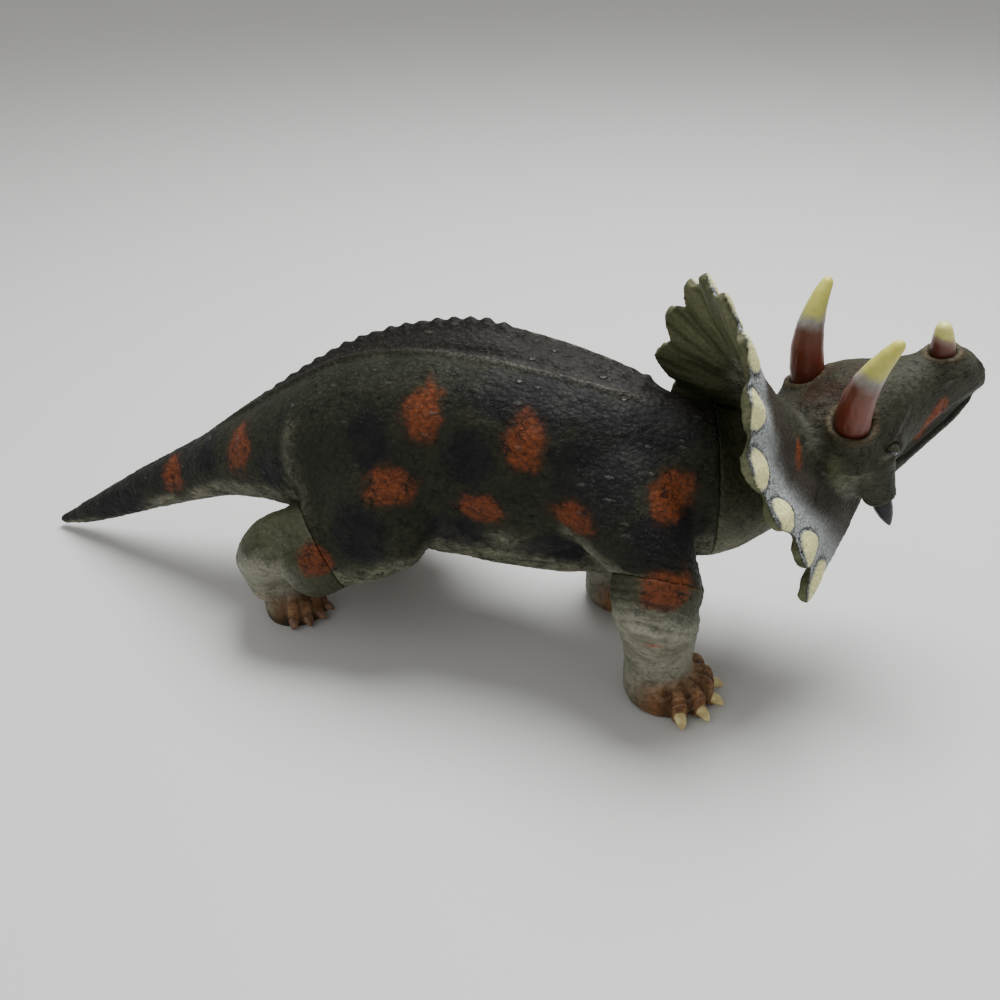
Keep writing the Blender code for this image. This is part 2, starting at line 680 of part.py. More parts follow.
def build_leg(name, material, body, stump, leg):
    """A lower leg with its padded foot, toes and flanged plug."""
    rings = shank_rings(stump, leg, 0, STUMP_SIDES)
    ankle_height = ANKLE_HEIGHT_SHARE * BODY_HEIGHT
    for height, size in PAD_SHARES:
        lean = leg["ankle"].lerp(leg["foot"], 1 - height)
        centre = Vector((lean.x, lean.y, height * ankle_height))
        half = size * leg["foot_length"] / 2
        rings.append(ring(centre, Vector((half, 0, 0)), Vector((0, -half, 0)), STUMP_SIDES))
    piece = solid_from_rings("leg", rings)
    for angle in leg["toes"]:
        spread = math.radians(leg["yaw"] + angle)
        direction = Vector((math.cos(spread), math.sin(spread), 0))
        join(piece, toe_solid(leg["foot"], direction, leg["foot_length"] / 2 + leg["toe_length"]))
    trim_above_seam(piece, stump)
    join(piece, leg_cap("cap", stump, 0, STUMP_SIDES))
    hollow = solid_from_rings("hollow", shank_rings(stump, leg, WALL, CAVITY_SIDES))
    trim_above_seam(hollow, stump, WALL)
    join(hollow, leg_cap("cap_hollow", stump, WALL, CAVITY_SIDES))
    cut(piece, hollow)
    seam, axis = stump["seam"], stump["axis"]
    join(piece, plug("plug", seam, axis, LEG_HOLE_RADIUS, LEG_FLANGE_WIDTH, STUMP_SIDES))
    reach = WALL + OVERRUN
    cut(piece, plug_bore(seam, axis, LEG_HOLE_RADIUS, LEG_PLUG_WALL, reach, CAVITY_SIDES))
    return finish(piece, name, material, seam, body)


def cap_clearance(stump):
    """The space that a lower leg's round end sweeps as it turns."""
    radius = stump["radius"]
    profile = [(distance * radius + 2 * GAP, share * radius + 2 * GAP) for distance, share in CAP_SHARES]
    profile[0] = (0, radius + 2 * GAP)
    return turned("clearance", stump["seam"], stump["axis"], profile, STUMP_SIDES)


def trim_above_seam(piece, stump, inset=0):
    """Cuts away what reaches past the seam's face."""
    length = 3 * stump["radius"]
    profile = ((-length, length), (GAP + inset, length))
    cut(piece, turned("trim", stump["seam"], stump["axis"], profile, STUMP_SIDES))


FRONT_LEG = {
    "shares": FRONT_LEG_SHARES,
    "foot_length": FRONT_FOOT_LENGTH,
    "toe_length": FRONT_TOE_LENGTH,
    "toes": FRONT_TOE_ANGLES,
    "turn": FRONT_FOOT_YAW,
    "back": FRONT_ANKLE_BACK_SHARE,
}
HIND_LEG = {
    "shares": HIND_LEG_SHARES,
    "foot_length": HIND_FOOT_LENGTH,
    "toe_length": HIND_TOE_LENGTH,
    "toes": HIND_TOE_ANGLES,
    "turn": HIND_FOOT_YAW,
    "back": HIND_ANKLE_BACK_SHARE,
}


def make_leg(form, foot_shares, left):
    """The form of a leg, with the places of its foot and its ankle."""
    foot = body_point((*foot_shares, 0))
    back = form["back"] * form["foot_length"]
    ankle = foot + Vector((-back, 0, ANKLE_HEIGHT_SHARE * BODY_HEIGHT))
    return {**form, "foot": foot, "ankle": ankle, "yaw": -form["turn"] if left else form["turn"]}


HEAD_TURN = (
    Matrix.Rotation(math.radians(HEAD_YAW), 3, "Z")
    @ Matrix.Rotation(math.radians(-HEAD_PITCH), 3, "Y")
    @ Matrix.Rotation(math.radians(HEAD_ROLL), 3, "X")
)
BROW = NECK_SEAM + scaled(BROW_SHARES, NECK_REACH, NECK_REACH, NECK_REACH)


def head_place(local):
    """World point of a point given in the head's frame."""
    return BROW + HEAD_TURN @ local


def head_point(shares, mirror=1):
    return Vector((shares[0] * HEAD_LENGTH, shares[1] * mirror * HEAD_WIDTH / 2, shares[2] * HEAD_HEIGHT))


def head_axis(shares, mirror=1):
    return HEAD_TURN @ unit((shares[0], shares[1] * mirror, shares[2]))


def head_loft(name, shares, count, inset, lower_top, sides):
    """A loft along the head from rows of shares; inset narrows it for a hollow."""
    rings = []
    for forward, top, under, width, squareness in blend_rows(shares, count):
        high = top * HEAD_HEIGHT - inset - lower_top
        low = under * HEAD_HEIGHT + inset
        half_width = width * HEAD_WIDTH - inset
        centre = head_place(Vector((forward * HEAD_LENGTH, 0, (high + low) / 2)))
        rings.append(ring(centre, HEAD_TURN @ Vector((0, half_width, 0)),
                          HEAD_TURN @ Vector((0, 0, (high - low) / 2)), sides, squareness))
    return solid_from_rings(name, rings)


def neck_solid(name, inset, sides):
    """The neck from the seam's face into the back of the skull."""
    start = NECK_SEAM + NECK_AXIS * GAP
    end = head_place(scaled(NECK_END_SHARES, HEAD_LENGTH, HEAD_WIDTH, HEAD_HEIGHT))
    facing = HEAD_TURN @ Vector((1, 0, 0))
    span = (end - start).length / 3
    ends = (start, start + NECK_AXIS * span, end - facing * span, end)
    rings = []
    rows = blend_rows(NECK_SHARES, NECK_RINGS)
    if inset:
        del rows[1]
    for place, radius_share in rows:
        point, slope = curve_point(ends, place)
        if place == 0:
            slope = NECK_AXIS
            point = point + NECK_AXIS * inset
        first, second = cross_axes(slope, Vector((0, 1, 0)))
        radius = NECK_RADIUS * radius_share - inset
        rings.append(ring(point, first * radius, second * radius, sides))
    return solid_from_rings(name, rings)


def rim_angles():
    """(angle, scallop height) round the rim; the height is 0 at a notch and 1 at a tip."""
    half = [(0.0, 0.0)]
    for start, end in zip(NOTCH_ANGLES, NOTCH_ANGLES[1:]):
        for step in range(1, SCALLOP_STEPS + 1):
            t = step / SCALLOP_STEPS
            half.append((start + (end - start) * t, 1 - abs(2 * t - 1) ** SCALLOP_POINT))
    mirrored = [(-angle, height) for angle, height in reversed(half[1:])]
    return mirrored + half


def frill_front(angle, share):
    """Front face of the frill: angle runs round the rim from its top, share from root to rim."""
    turn = math.radians(angle)
    across, rise = -math.sin(turn), math.cos(turn)
    place = abs(angle) / NOTCH_ANGLES[-1]
    centre = scaled(FRILL_CENTRE_SHARES, HEAD_LENGTH, HEAD_WIDTH, HEAD_HEIGHT)
    size, sweep = row_at(RIM_SHARES, place)[1:]
    height = rise * size * FRILL_HEIGHT / 2
    rim = Vector((
        centre.x - math.tan(math.radians(FRILL_LEAN)) * height - FRILL_SWEEP * sweep,
        across * size * FRILL_WIDTH / 2,
        centre.z + height,
    ))
    forward, half_width, root_height, forward_pull = row_at(FRILL_ROOT_SHARES, place)[1:]
    side = math.copysign(1, across)
    root = scaled((forward, side * half_width, root_height), HEAD_LENGTH, HEAD_WIDTH, HEAD_HEIGHT)
    bend = root.lerp(rim, FRILL_BELLY_SHARE)
    bend.x = root.x + (rim.x - root.x) * forward_pull
    point = root * (1 - share) ** 2 + bend * 2 * share * (1 - share) + rim * share ** 2
    outward = (rim - bend).normalized()
    return point, outward


def frill_faces():
    """Points of the front and the back of the frill, as columns round the rim."""
    columns = rim_angles()
    grid = [[frill_front(angle, share) for share in FRILL_ROWS_SHARES] for angle, height in columns]
    last_row, last_column = len(FRILL_ROWS_SHARES) - 1, len(columns) - 1
    flat_share = FRILL_ROWS_SHARES[-3]
    front, back = [], []
    for step, (angle, lift) in enumerate(columns):
        front_column, back_column = [], []
        for row, share in enumerate(FRILL_ROWS_SHARES):
            point, outward = grid[step][row]
            along = grid[min(step + 1, last_column)][row][0] - grid[max(step - 1, 0)][row][0]
            out = grid[step][min(row + 1, last_row)][0] - grid[step][max(row - 1, 0)][0]
            normal = out.cross(along).normalized()
            if normal.x < 0:
                normal = -normal
            near_rim = max(0.0, (share - flat_share) / (1 - flat_share))
            rise = SCALLOP_RISE * lift * math.sin(math.pi * min(near_rim, 0.5))
            thickness = mixed(FRILL_THICKNESS_SHARES, share) * FRILL_THICKNESS
            thickness += mixed(FRILL_RIDGE_SHARES, share) * share * lift * FRILL_RIDGE
            shifted = point + outward * (SCALLOP_REACH * lift * near_rim)
            front_column.append(head_place(shifted + normal * rise))
            back_column.append(head_place(shifted - normal * thickness))
        front.append(front_column)
        back.append(back_column)
    return front, back


def frill_solid():
    """The scalloped sheet, as a front face, a back face and the strips that close them."""
    shape = bmesh.new()
    front, back = [[[shape.verts.new(point) for point in column] for column in face]
                   for face in frill_faces()]
    steps, last = len(front) - 1, len(FRILL_ROWS_SHARES) - 1
    for i in range(steps):
        for j in range(last):
            shape.faces.new((front[i][j], front[i + 1][j], front[i + 1][j + 1], front[i][j + 1]))
            shape.faces.new((back[i][j], back[i][j + 1], back[i + 1][j + 1], back[i + 1][j]))
        for j in (0, last):
            shape.faces.new((front[i][j], back[i][j], back[i + 1][j], front[i + 1][j]))
    for i in (0, steps):
        for j in range(last):
            shape.faces.new((front[i][j], front[i][j + 1], back[i][j + 1], back[i][j]))
    bmesh.ops.triangulate(shape, faces=shape.faces)
    bmesh.ops.recalc_face_normals(shape, faces=shape.faces)
    return object_from_bmesh("frill", shape)


BROW_HORN = {
    "seat": BROW_HORN_SHARES,
    "axis": BROW_AXIS_SHARES,
    "radius": BROW_HORN_RADIUS,
    "length": BROW_HORN_LENGTH,
    "taper": BROW_TAPER_SHARES,
    "bend": BROW_BEND_SHARES,
    "tip": BROW_TIP_SHARES,
    "boss": BROW_BOSS_SHARE,
}
NOSE_HORN = {
    "seat": NOSE_HORN_SHARES,
    "axis": NOSE_AXIS_SHARES,
    "radius": NOSE_HORN_RADIUS,
    "length": NOSE_HORN_LENGTH,
    "taper": NOSE_TAPER_SHARES,
    "bend": unit(NOSE_AXIS_SHARES) / 2,
    "tip": unit(NOSE_AXIS_SHARES),
    "boss": NOSE_BOSS_SHARE,
}
CHEEK_SPIKE = {
    "seat": CHEEK_SPIKE_SHARES,
    "axis": CHEEK_AXIS_SHARES,
    "radius": CHEEK_SPIKE_RADIUS,
    "length": CHEEK_SPIKE_LENGTH,
    "taper": SPIKE_TAPER_SHARES,
    "bend": unit(CHEEK_AXIS_SHARES) / 2,
    "tip": unit(CHEEK_AXIS_SHARES),
    "boss": CHEEK_BOSS_SHARE,
}


def socket_boss(form, mirror=1):
    """A tapered rim of skin that rises out of the head round a socket."""
    seat = head_place(head_point(form["seat"], mirror))
    axis = head_axis(form["axis"], mirror)
    rim = form["radius"] + GAP + SOCKET_RIM
    root_depth = form["boss"] * HEAD_HEIGHT
    profile = [(-root_depth * depth, rim * flare) for depth, flare in BOSS_FLARE_SHARES]
    profile += [(-SOCKET_RIM / 2, rim), (0, rim - SOCKET_RIM / 2)]
    return turned("boss", seat, axis, profile, HORN_SIDES)


def socket_hole(form, mirror=1):
    seat = head_place(head_point(form["seat"], mirror))
    axis = head_axis(form["axis"], mirror)
    radius = form["radius"] + GAP
    return turned("socket", seat, axis, ((-SOCKET_DEPTH, radius), (OVERRUN, radius)), HORN_SIDES)


def build_head(material, body):
    head = head_loft("head", SKULL_SHARES, SKULL_RINGS, 0, 0, SKULL_SIDES)
    join(head, head_loft("jaw", JAW_SHARES, JAW_RINGS, 0, 0, SKULL_SIDES))
    join(head, neck_solid("neck", 0, TRUNK_SIDES))
    join(head, frill_solid())
    for mirror in (1, -1):
        join(head, socket_boss(BROW_HORN, mirror), socket_boss(CHEEK_SPIKE, mirror))
        lid = head_point(EYE_SHARES, mirror) - Vector((0, 2 * mirror * EYELID, 0))
        join(head, ball("lid", head_place(lid), EYE_RADIUS + EYELID, HORN_SIDES))
    join(head, socket_boss(NOSE_HORN))
    join(head, plug("plug", NECK_SEAM, NECK_AXIS, NECK_HOLE_RADIUS, NECK_FLANGE_WIDTH, TRUNK_SIDES))
    hollow = neck_solid("neck_hollow", SKULL_WALL, CAVITY_SIDES)
    join(hollow, head_loft("skull_hollow", SKULL_SHARES[1:6], HOLLOW_RINGS, SKULL_WALL,
                           SOCKET_DEPTH + SOCKET_RIM, CAVITY_SIDES))
    cut(head, hollow)
    reach = SKULL_WALL + OVERRUN
    cut(head, plug_bore(NECK_SEAM, NECK_AXIS, NECK_HOLE_RADIUS, PLUG_WALL, reach, CAVITY_SIDES))
    for mirror in (1, -1):
        cut(head, socket_hole(BROW_HORN, mirror), socket_hole(CHEEK_SPIKE, mirror))
        eye = head_place(head_point(EYE_SHARES, mirror))
        cut(head, ball("eye_socket", eye, EYE_RADIUS + GAP, HORN_SIDES))
    cut(head, socket_hole(NOSE_HORN))
    return finish(head, "head_shell", material, NECK_SEAM, body)


def build_horn(name, material, head, form, mirror=1):
    """A horn with its round root in the socket, bent toward its tip."""
    radius, length = form["radius"], form["length"]
    seat = head_place(head_point(form["seat"], mirror))
    axis = head_axis(form["axis"], mirror)
    bend, tip = [seat + HEAD_TURN @ (Vector((x, y * mirror, z)) * length)
                 for x, y, z in (form["bend"], form["tip"])]
    forward = HEAD_TURN @ Vector((1, 0, 0))
    first, second = cross_axes(axis, forward)
    root = seat - axis * (SOCKET_DEPTH - GAP)
    rings = [ring(root, first * radius, second * radius, HORN_SIDES)]
    for place, share in form["taper"]:
        point = seat * (1 - place) ** 2 + bend * 2 * place * (1 - place) + tip * place ** 2
        slope = ((bend - seat) * (1 - place) + (tip - bend) * place).normalized()
        if place == 0:
            slope = axis
        first, second = cross_axes(slope, forward)
        rings.append(ring(point, first * radius * share, second * radius * share, HORN_SIDES))
    horn = solid_from_rings(name, rings)
    return finish(horn, name, material, seat, head)


def build_eye(name, material, head, mirror):
    centre = head_place(head_point(EYE_SHARES, mirror))
    eye = ball(name, centre, EYE_RADIUS, HORN_SIDES)
    return finish(eye, name, material, centre, head)


def make_stump(shares, axis_shares, seam_radius, left, pivot_shares, swing, slim=1):
    frames = stump_frames(shares, axis_shares, seam_radius, left, pivot_shares, swing, slim)
    centre, direction = frames[-1][0], frames[-1][1]
    return {"frames": frames, "seam": centre, "axis": direction, "radius": seam_radius}


def centre_on_floor(figure):
    """Moves the figure so that the middle of its box stands over the origin, on the floor."""
    bpy.context.view_layer.update()
    corners = [item.matrix_world @ vert.co for item in bpy.data.objects if item.type == "MESH"
               for vert in item.data.vertices]
    low = Vector([min(corner[axis] for corner in corners) for axis in range(3)])
    high = Vector([max(corner[axis] for corner in corners) for axis in range(3)])
    figure.location = Vector((-(low.x + high.x) / 2, -(low.y + high.y) / 2, -low.z))
    print("box", [round(value, 5) for value in high - low], "moved", [round(v, 5) for v in figure.location])


def main():
    clear_scene()
    skin = make_material("vinyl_skin", (0.115, 0.120, 0.085), 0.55)
    head_skin = make_material("vinyl_head", (0.150, 0.150, 0.105), 0.58)
    leg_skin = make_material("vinyl_leg", (0.360, 0.370, 0.290), 0.60)
    horn_skin = make_material("horn_vinyl", (0.560, 0.330, 0.160), 0.45)
    spike_skin = make_material("spike_vinyl", (0.015, 0.015, 0.020), 0.22)
    eye_gloss = make_material("eye_gloss", (0.300, 0.290, 0.330), 0.10)

    figure = bpy.data.objects.new("figure", None)
    bpy.context.scene.collection.objects.link(figure)

    stumps = {
        "front_right": make_stump(SHOULDER_SHARES, SHOULDER_AXIS_SHARES, FRONT_SEAM_RADIUS, False,
                                  SHOULDER_PIVOT_SHARES, 0),
        "front_left": make_stump(SHOULDER_SHARES, SHOULDER_AXIS_SHARES, FRONT_SEAM_RADIUS, True,
                                 SHOULDER_PIVOT_SHARES, LEFT_SHOULDER_SWING, LEFT_SHOULDER_SLIM_SHARE),
        "hind_right": make_stump(THIGH_SHARES, THIGH_AXIS_SHARES, HIND_SEAM_RADIUS, False, HIP_SHARES, 0),
        "hind_left": make_stump(THIGH_SHARES, THIGH_AXIS_SHARES, HIND_SEAM_RADIUS, True, HIP_SHARES,
                                LEFT_THIGH_SWING),
    }
    body = build_body(skin, figure, stumps.values())
    legs = {
        "front_right": make_leg(FRONT_LEG, FRONT_RIGHT_FOOT_SHARES, False),
        "front_left": make_leg(FRONT_LEG, FRONT_LEFT_FOOT_SHARES, True),
        "hind_right": make_leg(HIND_LEG, HIND_RIGHT_FOOT_SHARES, False),
        "hind_left": make_leg(HIND_LEG, HIND_LEFT_FOOT_SHARES, True),
    }
    for place, leg in legs.items():
        build_leg("leg_" + place, leg_skin, body, stumps[place], leg)

    head = build_head(head_skin, body)
    for side, mirror in (("left", 1), ("right", -1)):
        build_horn("brow_horn_" + side, horn_skin, head, BROW_HORN, mirror)
        build_horn("cheek_spike_" + side, spike_skin, head, CHEEK_SPIKE, mirror)
        build_eye("eye_" + side, eye_gloss, head, mirror)
    build_horn("nose_horn", horn_skin, head, NOSE_HORN)
    centre_on_floor(figure)


main()
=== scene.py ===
import json
import math

import bmesh
import bpy
import numpy as np
from mathutils import Matrix, Vector, noise


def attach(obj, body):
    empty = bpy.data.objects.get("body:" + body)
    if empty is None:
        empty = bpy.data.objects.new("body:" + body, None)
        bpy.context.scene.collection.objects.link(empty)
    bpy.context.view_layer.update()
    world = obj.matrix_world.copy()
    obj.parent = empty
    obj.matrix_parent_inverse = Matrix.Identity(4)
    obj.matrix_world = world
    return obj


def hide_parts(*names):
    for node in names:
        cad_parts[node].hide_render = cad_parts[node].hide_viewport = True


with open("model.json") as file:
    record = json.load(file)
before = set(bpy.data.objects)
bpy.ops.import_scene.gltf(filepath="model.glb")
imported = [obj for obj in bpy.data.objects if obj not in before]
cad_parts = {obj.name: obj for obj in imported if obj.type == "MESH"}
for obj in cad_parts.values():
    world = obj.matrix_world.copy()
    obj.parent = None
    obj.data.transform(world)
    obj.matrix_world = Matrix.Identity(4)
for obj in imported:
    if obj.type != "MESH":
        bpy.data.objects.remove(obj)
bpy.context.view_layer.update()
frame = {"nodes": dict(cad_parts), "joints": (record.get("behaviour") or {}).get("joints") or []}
nodes = frame["nodes"]
mm = 0.001

# view, floor and light
viewSet = {
    "place": (0.17486, -0.37884, 0.305),
    "heading": 20.7,       # degrees, to the left of the animal's side
    "down": 31.0,
    "roll": 1.5,
    "lens": 38.99,
    "keyPower": 24.0,
    "keyPlace": (0.15, 0.35, 1.15),
    "keySize": 0.80,
    "fillPower": 2.2,
    "fillPlace": (-0.5, -0.9, 0.9),
    "fillSize": 1.2,
    "skyStrength": 0.44,
    "skyColour": (1.0, 0.985, 0.96),
    "lightTarget": (0.02, 0, 0.05),
    "floorColour": (0.66, 0.66, 0.655),
    "floorRoughness": 0.6,
    "floorHalf": 8.0,      # metres
}


def aimedAt(place, target):
    return (Vector(target) - Vector(place)).to_track_quat("-Z", "Y").to_matrix().to_4x4()


def areaLight(name, place, size, power):
    light = bpy.data.lights.new(name, "AREA")
    light.shape = "DISK"
    light.size = size
    light.energy = power
    lamp = bpy.data.objects.new(name, light)
    lamp.matrix_world = Matrix.Translation(place) @ aimedAt(place, viewSet["lightTarget"])
    bpy.context.scene.collection.objects.link(lamp)


def makeStudio():
    eye = bpy.data.cameras.new("photoView")
    eye.sensor_width = 36
    eye.lens = viewSet["lens"]
    eye.clip_start = 0.01
    camera = bpy.data.objects.new("photoView", eye)
    camera.matrix_world = (
        Matrix.Translation(viewSet["place"])
        @ Matrix.Rotation(math.radians(viewSet["heading"]), 4, "Z")
        @ Matrix.Rotation(math.radians(90 - viewSet["down"]), 4, "X")
        @ Matrix.Rotation(math.radians(-viewSet["roll"]), 4, "Z")
    )
    bpy.context.scene.collection.objects.link(camera)
    bpy.context.scene.camera = camera

    areaLight("keyLight", viewSet["keyPlace"], viewSet["keySize"], viewSet["keyPower"])
    areaLight("fillLight", viewSet["fillPlace"], viewSet["fillSize"], viewSet["fillPower"])
    sky = bpy.data.worlds.new("studioSky")
    sky.use_nodes = True
    ground = sky.node_tree.nodes["Background"]
    ground.inputs["Color"].default_value = (*viewSet["skyColour"], 1)
    ground.inputs["Strength"].default_value = viewSet["skyStrength"]
    bpy.context.scene.world = sky

    mesh = bpy.data.meshes.new("tableTop")
    half = viewSet["floorHalf"]
    corners = [(-half, -half, 0), (half, -half, 0), (half, half, 0), (-half, half, 0)]
    mesh.from_pydata(corners, [], [(0, 1, 2, 3)])
    floor = bpy.data.objects.new("tableTop", mesh)
    bpy.context.scene.collection.objects.link(floor)
    paint = bpy.data.materials.new("tableTop")
    paint.use_nodes = True
    shader = paint.node_tree.nodes["Principled BSDF"]
    shader.inputs["Base Color"].default_value = (*viewSet["floorColour"], 1)
    shader.inputs["Roughness"].default_value = viewSet["floorRoughness"]
    mesh.materials.append(paint)


# materials from expressions
class Wire:
    # a socket of a material's nodes; sums and products of these add Math nodes
    def __init__(self, paint, socket):
        self.paint = paint
        self.socket = socket

    def math(self, operation, first, second=0.0, clamp=False):
        settings = {"operation": operation, "use_clamp": clamp}
        return self.paint.node("ShaderNodeMath", settings, {0: first, 1: second})

    def __add__(self, other):
        return self.math("ADD", self, other)

    def __radd__(self, other):
        return self.math("ADD", other, self)

    def __sub__(self, other):
        return self.math("SUBTRACT", self, other)

    def __rsub__(self, other):
        return self.math("SUBTRACT", other, self)

    def __mul__(self, other):
        return self.math("MULTIPLY", self, other)

    def __rmul__(self, other):
        return self.math("MULTIPLY", other, self)

    def clamped(self):
        return self.math("ADD", self, 0.0, clamp=True)


class Paint:
    # a Principled material whose nodes come from the calls below
    def __init__(self, name, **constants):
        self.material = bpy.data.materials.new(name)
        self.material.use_nodes = True
        self.tree = self.material.node_tree
        self.shader = self.tree.nodes["Principled BSDF"]
        self.colour = None
        for socket, value in constants.items():
            self.shader.inputs[socket.replace("_", " ")].default_value = value

    def node(self, kind, settings, inputs, output=0):
        made = self.tree.nodes.new(kind)
        for name, setting in settings.items():
            if name == "stops":
                self.setStops(made.color_ramp, setting)
            else:
                setattr(made, name, setting)
        for name, value in inputs.items():
            if isinstance(value, Wire):
                self.tree.links.new(value.socket, made.inputs[name])
            else:
                made.inputs[name].default_value = value
        return Wire(self, made.outputs[output])

    def setStops(self, ramp, stops):
        while len(ramp.elements) < len(stops):
            ramp.elements.new(0.5)
        for element, (place, colour) in zip(ramp.elements, stops):
            element.position = place
            element.color = (*colour, 1)

    def feed(self, socket, wire):
        self.tree.links.new(wire.socket, self.shader.inputs[socket])

    def mask(self, name):
        return self.node("ShaderNodeAttribute", {"attribute_name": name}, {}, "Fac")

    def place(self, stretch=(1, 1, 1)):
        spot = self.node("ShaderNodeTexCoord", {}, {}, "Object")
        return self.node("ShaderNodeVectorMath", {"operation": "MULTIPLY"}, {0: spot, 1: stretch})

    def cloud(self, place, scale, detail=3.0, rough=0.55):
        inputs = {"Vector": place, "Scale": scale, "Detail": detail, "Roughness": rough}
        return self.node("ShaderNodeTexNoise", {}, inputs)

    def cells(self, place, scale, feature="F1"):
        inputs = {"Vector": place, "Scale": scale}
        return self.node("ShaderNodeTexVoronoi", {"feature": feature}, inputs, "Distance")

    def step(self, value, low, high):
        # 0 at low and 1 at high, with a soft turn at both ends
        inputs = {"Value": value, "From Min": low, "From Max": high, "To Min": 0.0, "To Max": 1.0}
        return self.node("ShaderNodeMapRange", {"interpolation_type": "SMOOTHSTEP"}, inputs)

    def mix(self, mask, base, top):
        inputs = {0: mask, 6: asColour(base), 7: asColour(top)}
        return self.node("ShaderNodeMix", {"data_type": "RGBA"}, inputs, 2)

    def cover(self, mask, tone):
        # lays a tone over the colour so far; mask is a wire or the name of a painted mask
        self.colour = self.mix(self.mask(mask) if isinstance(mask, str) else mask, self.colour, tone)

    def shade(self, base, value):
        # multiplies a colour by a grey value
        settings = {"data_type": "RGBA", "blend_type": "MULTIPLY"}
        return self.node("ShaderNodeMix", settings, {0: 1.0, 6: asColour(base), 7: value}, 2)

    def bump(self, height, distance, strength):
        inputs = {"Height": height, "Distance": distance, "Strength": strength}
        return self.node("ShaderNodeBump", {}, inputs)


def asColour(value):
    return value if isinstance(value, Wire) else (*value, 1)


# dense skins worked on in numpy
def smooth(value, low, high):
    t = np.clip((value - low) / (high - low), 0, 1)
    return t * t * (3 - 2 * t)


def cloudField(points, size, seed):
    # soft noise from -1 to 1 whose features are about size metres wide
    shift = Vector((seed * 7.31, seed * 3.77, seed * 5.13))
    return np.array([noise.noise(Vector(point) + shift) for point in (points / size).tolist()])


def cellField(points, size, seed):
    # how much nearer the nearest cell centre is than the next: 0 on the lines between the cells
    shift = Vector((seed * 4.19, seed * 2.71, seed * 6.07))
    gap = np.empty(len(points))
    for i, point in enumerate((points / size).tolist()):
        distances = noise.voronoi(Vector(point) + shift)[0]
        gap[i] = distances[1] - distances[0]
    return gap


def moreRows(table, times):
    # a table of rows with more rows between each two
    places = np.linspace(0, len(table) - 1, (len(table) - 1) * times + 1)
    return np.stack([np.interp(places, np.arange(len(table)), column) for column in table.T], axis=1)


def disc(place, axis, low, high, radius, sides=40):
    # a closed round solid between two heights along an axis
    shape = bmesh.new()
    depth = high - low
    bmesh.ops.create_cone(shape, cap_ends=True, segments=sides, radius1=radius, radius2=radius, depth=depth)
    turn = Vector((0, 0, 1)).rotation_difference(Vector(axis).normalized()).to_matrix().to_4x4()
    middle = Vector(place) + Vector(axis).normalized() * (low + high) / 2
    shape.transform(Matrix.Translation(middle) @ turn)
    return shape


def objectFrom(shape, name):
    mesh = bpy.data.meshes.new(name)
    shape.to_mesh(mesh)
    shape.free()
    made = bpy.data.objects.new(name, mesh)
    bpy.context.scene.collection.objects.link(made)
    return made


def evaluated(made):
    graph = bpy.context.evaluated_depsgraph_get()
    return bpy.data.meshes.new_from_object(made.evaluated_get(graph))


def discard(made):
    bpy.data.objects.remove(made, do_unlink=True)


def biggestIsland(mesh):
    shape = bmesh.new()
    shape.from_mesh(mesh)
    seen, best = set(), []
    for start in shape.verts:
        if start in seen:
            continue
        seen.add(start)
        group, waiting = [start], [start]
        while waiting:
            for edge in waiting.pop().link_edges:
                for vert in edge.verts:
                    if vert not in seen:
                        seen.add(vert)
                        group.append(vert)
                        waiting.append(vert)
        if len(group) > len(best):
            best = group
    keep = set(best)
    bmesh.ops.delete(shape, geom=[vert for vert in shape.verts if vert not in keep], context="VERTS")
    shape.to_mesh(mesh)
    shape.free()


seamSet = {
    "lidDepth": 2.5 * mm,     # thickness of the lid over a socket
    "lidGap": 0.04 * mm,      # how far below the seam's plane the lid ends
    "cutDepth": 14 * mm,      # length of plug and flange that is cut away
    "cutEnd": 0.06 * mm,      # where the cut ends, outside the seam's plane
    "plugLow": 0.08 * mm,     # the closing disc over the cut, from here
    "plugHigh": 3.0 * mm,
    "cutMargin": 5 * mm,
}


def denseMesh(nodeName, voxel, joints, cutPlug):
    # a closed, evenly meshed copy of a node's outside, closed at the sockets or plugs that joints lists
    shape = bmesh.new()
    shape.from_mesh(nodes[nodeName].data)
    bmesh.ops.remove_doubles(shape, verts=shape.verts, dist=1e-6)
    if not cutPlug:
        for joint, radius in joints:
            lid = disc(joint["pos_m"], joint["axis"], -seamSet["lidDepth"], -seamSet["lidGap"], radius)
            pourInto(shape, lid)
    work = objectFrom(shape, "work")
    if cutPlug:
        for joint, radius in joints:
            wide = radius + seamSet["cutMargin"]
            cutter = disc(joint["pos_m"], joint["axis"], -seamSet["cutDepth"], seamSet["cutEnd"], wide)
            tool = objectFrom(cutter, "tool")
            trim = work.modifiers.new("trim", "BOOLEAN")
            trim.operation = "DIFFERENCE"
            trim.solver = "MANIFOLD"
            trim.object = tool
            cutMesh = evaluated(work)
            work.modifiers.clear()
            work.data = cutMesh
            discard(tool)
            shape = bmesh.new()
            shape.from_mesh(work.data)
            closing = disc(joint["pos_m"], joint["axis"], seamSet["plugLow"], seamSet["plugHigh"], radius)
            pourInto(shape, closing)
            shape.to_mesh(work.data)
            shape.free()
    remesh = work.modifiers.new("remesh", "REMESH")
    remesh.mode = "VOXEL"
    remesh.voxel_size = voxel
    mesh = evaluated(work)
    discard(work)
    biggestIsland(mesh)
    return mesh


def pourInto(shape, other):
    mesh = bpy.data.meshes.new("poured")
    other.to_mesh(mesh)
    other.free()
    shape.from_mesh(mesh)
    bpy.data.meshes.remove(mesh)


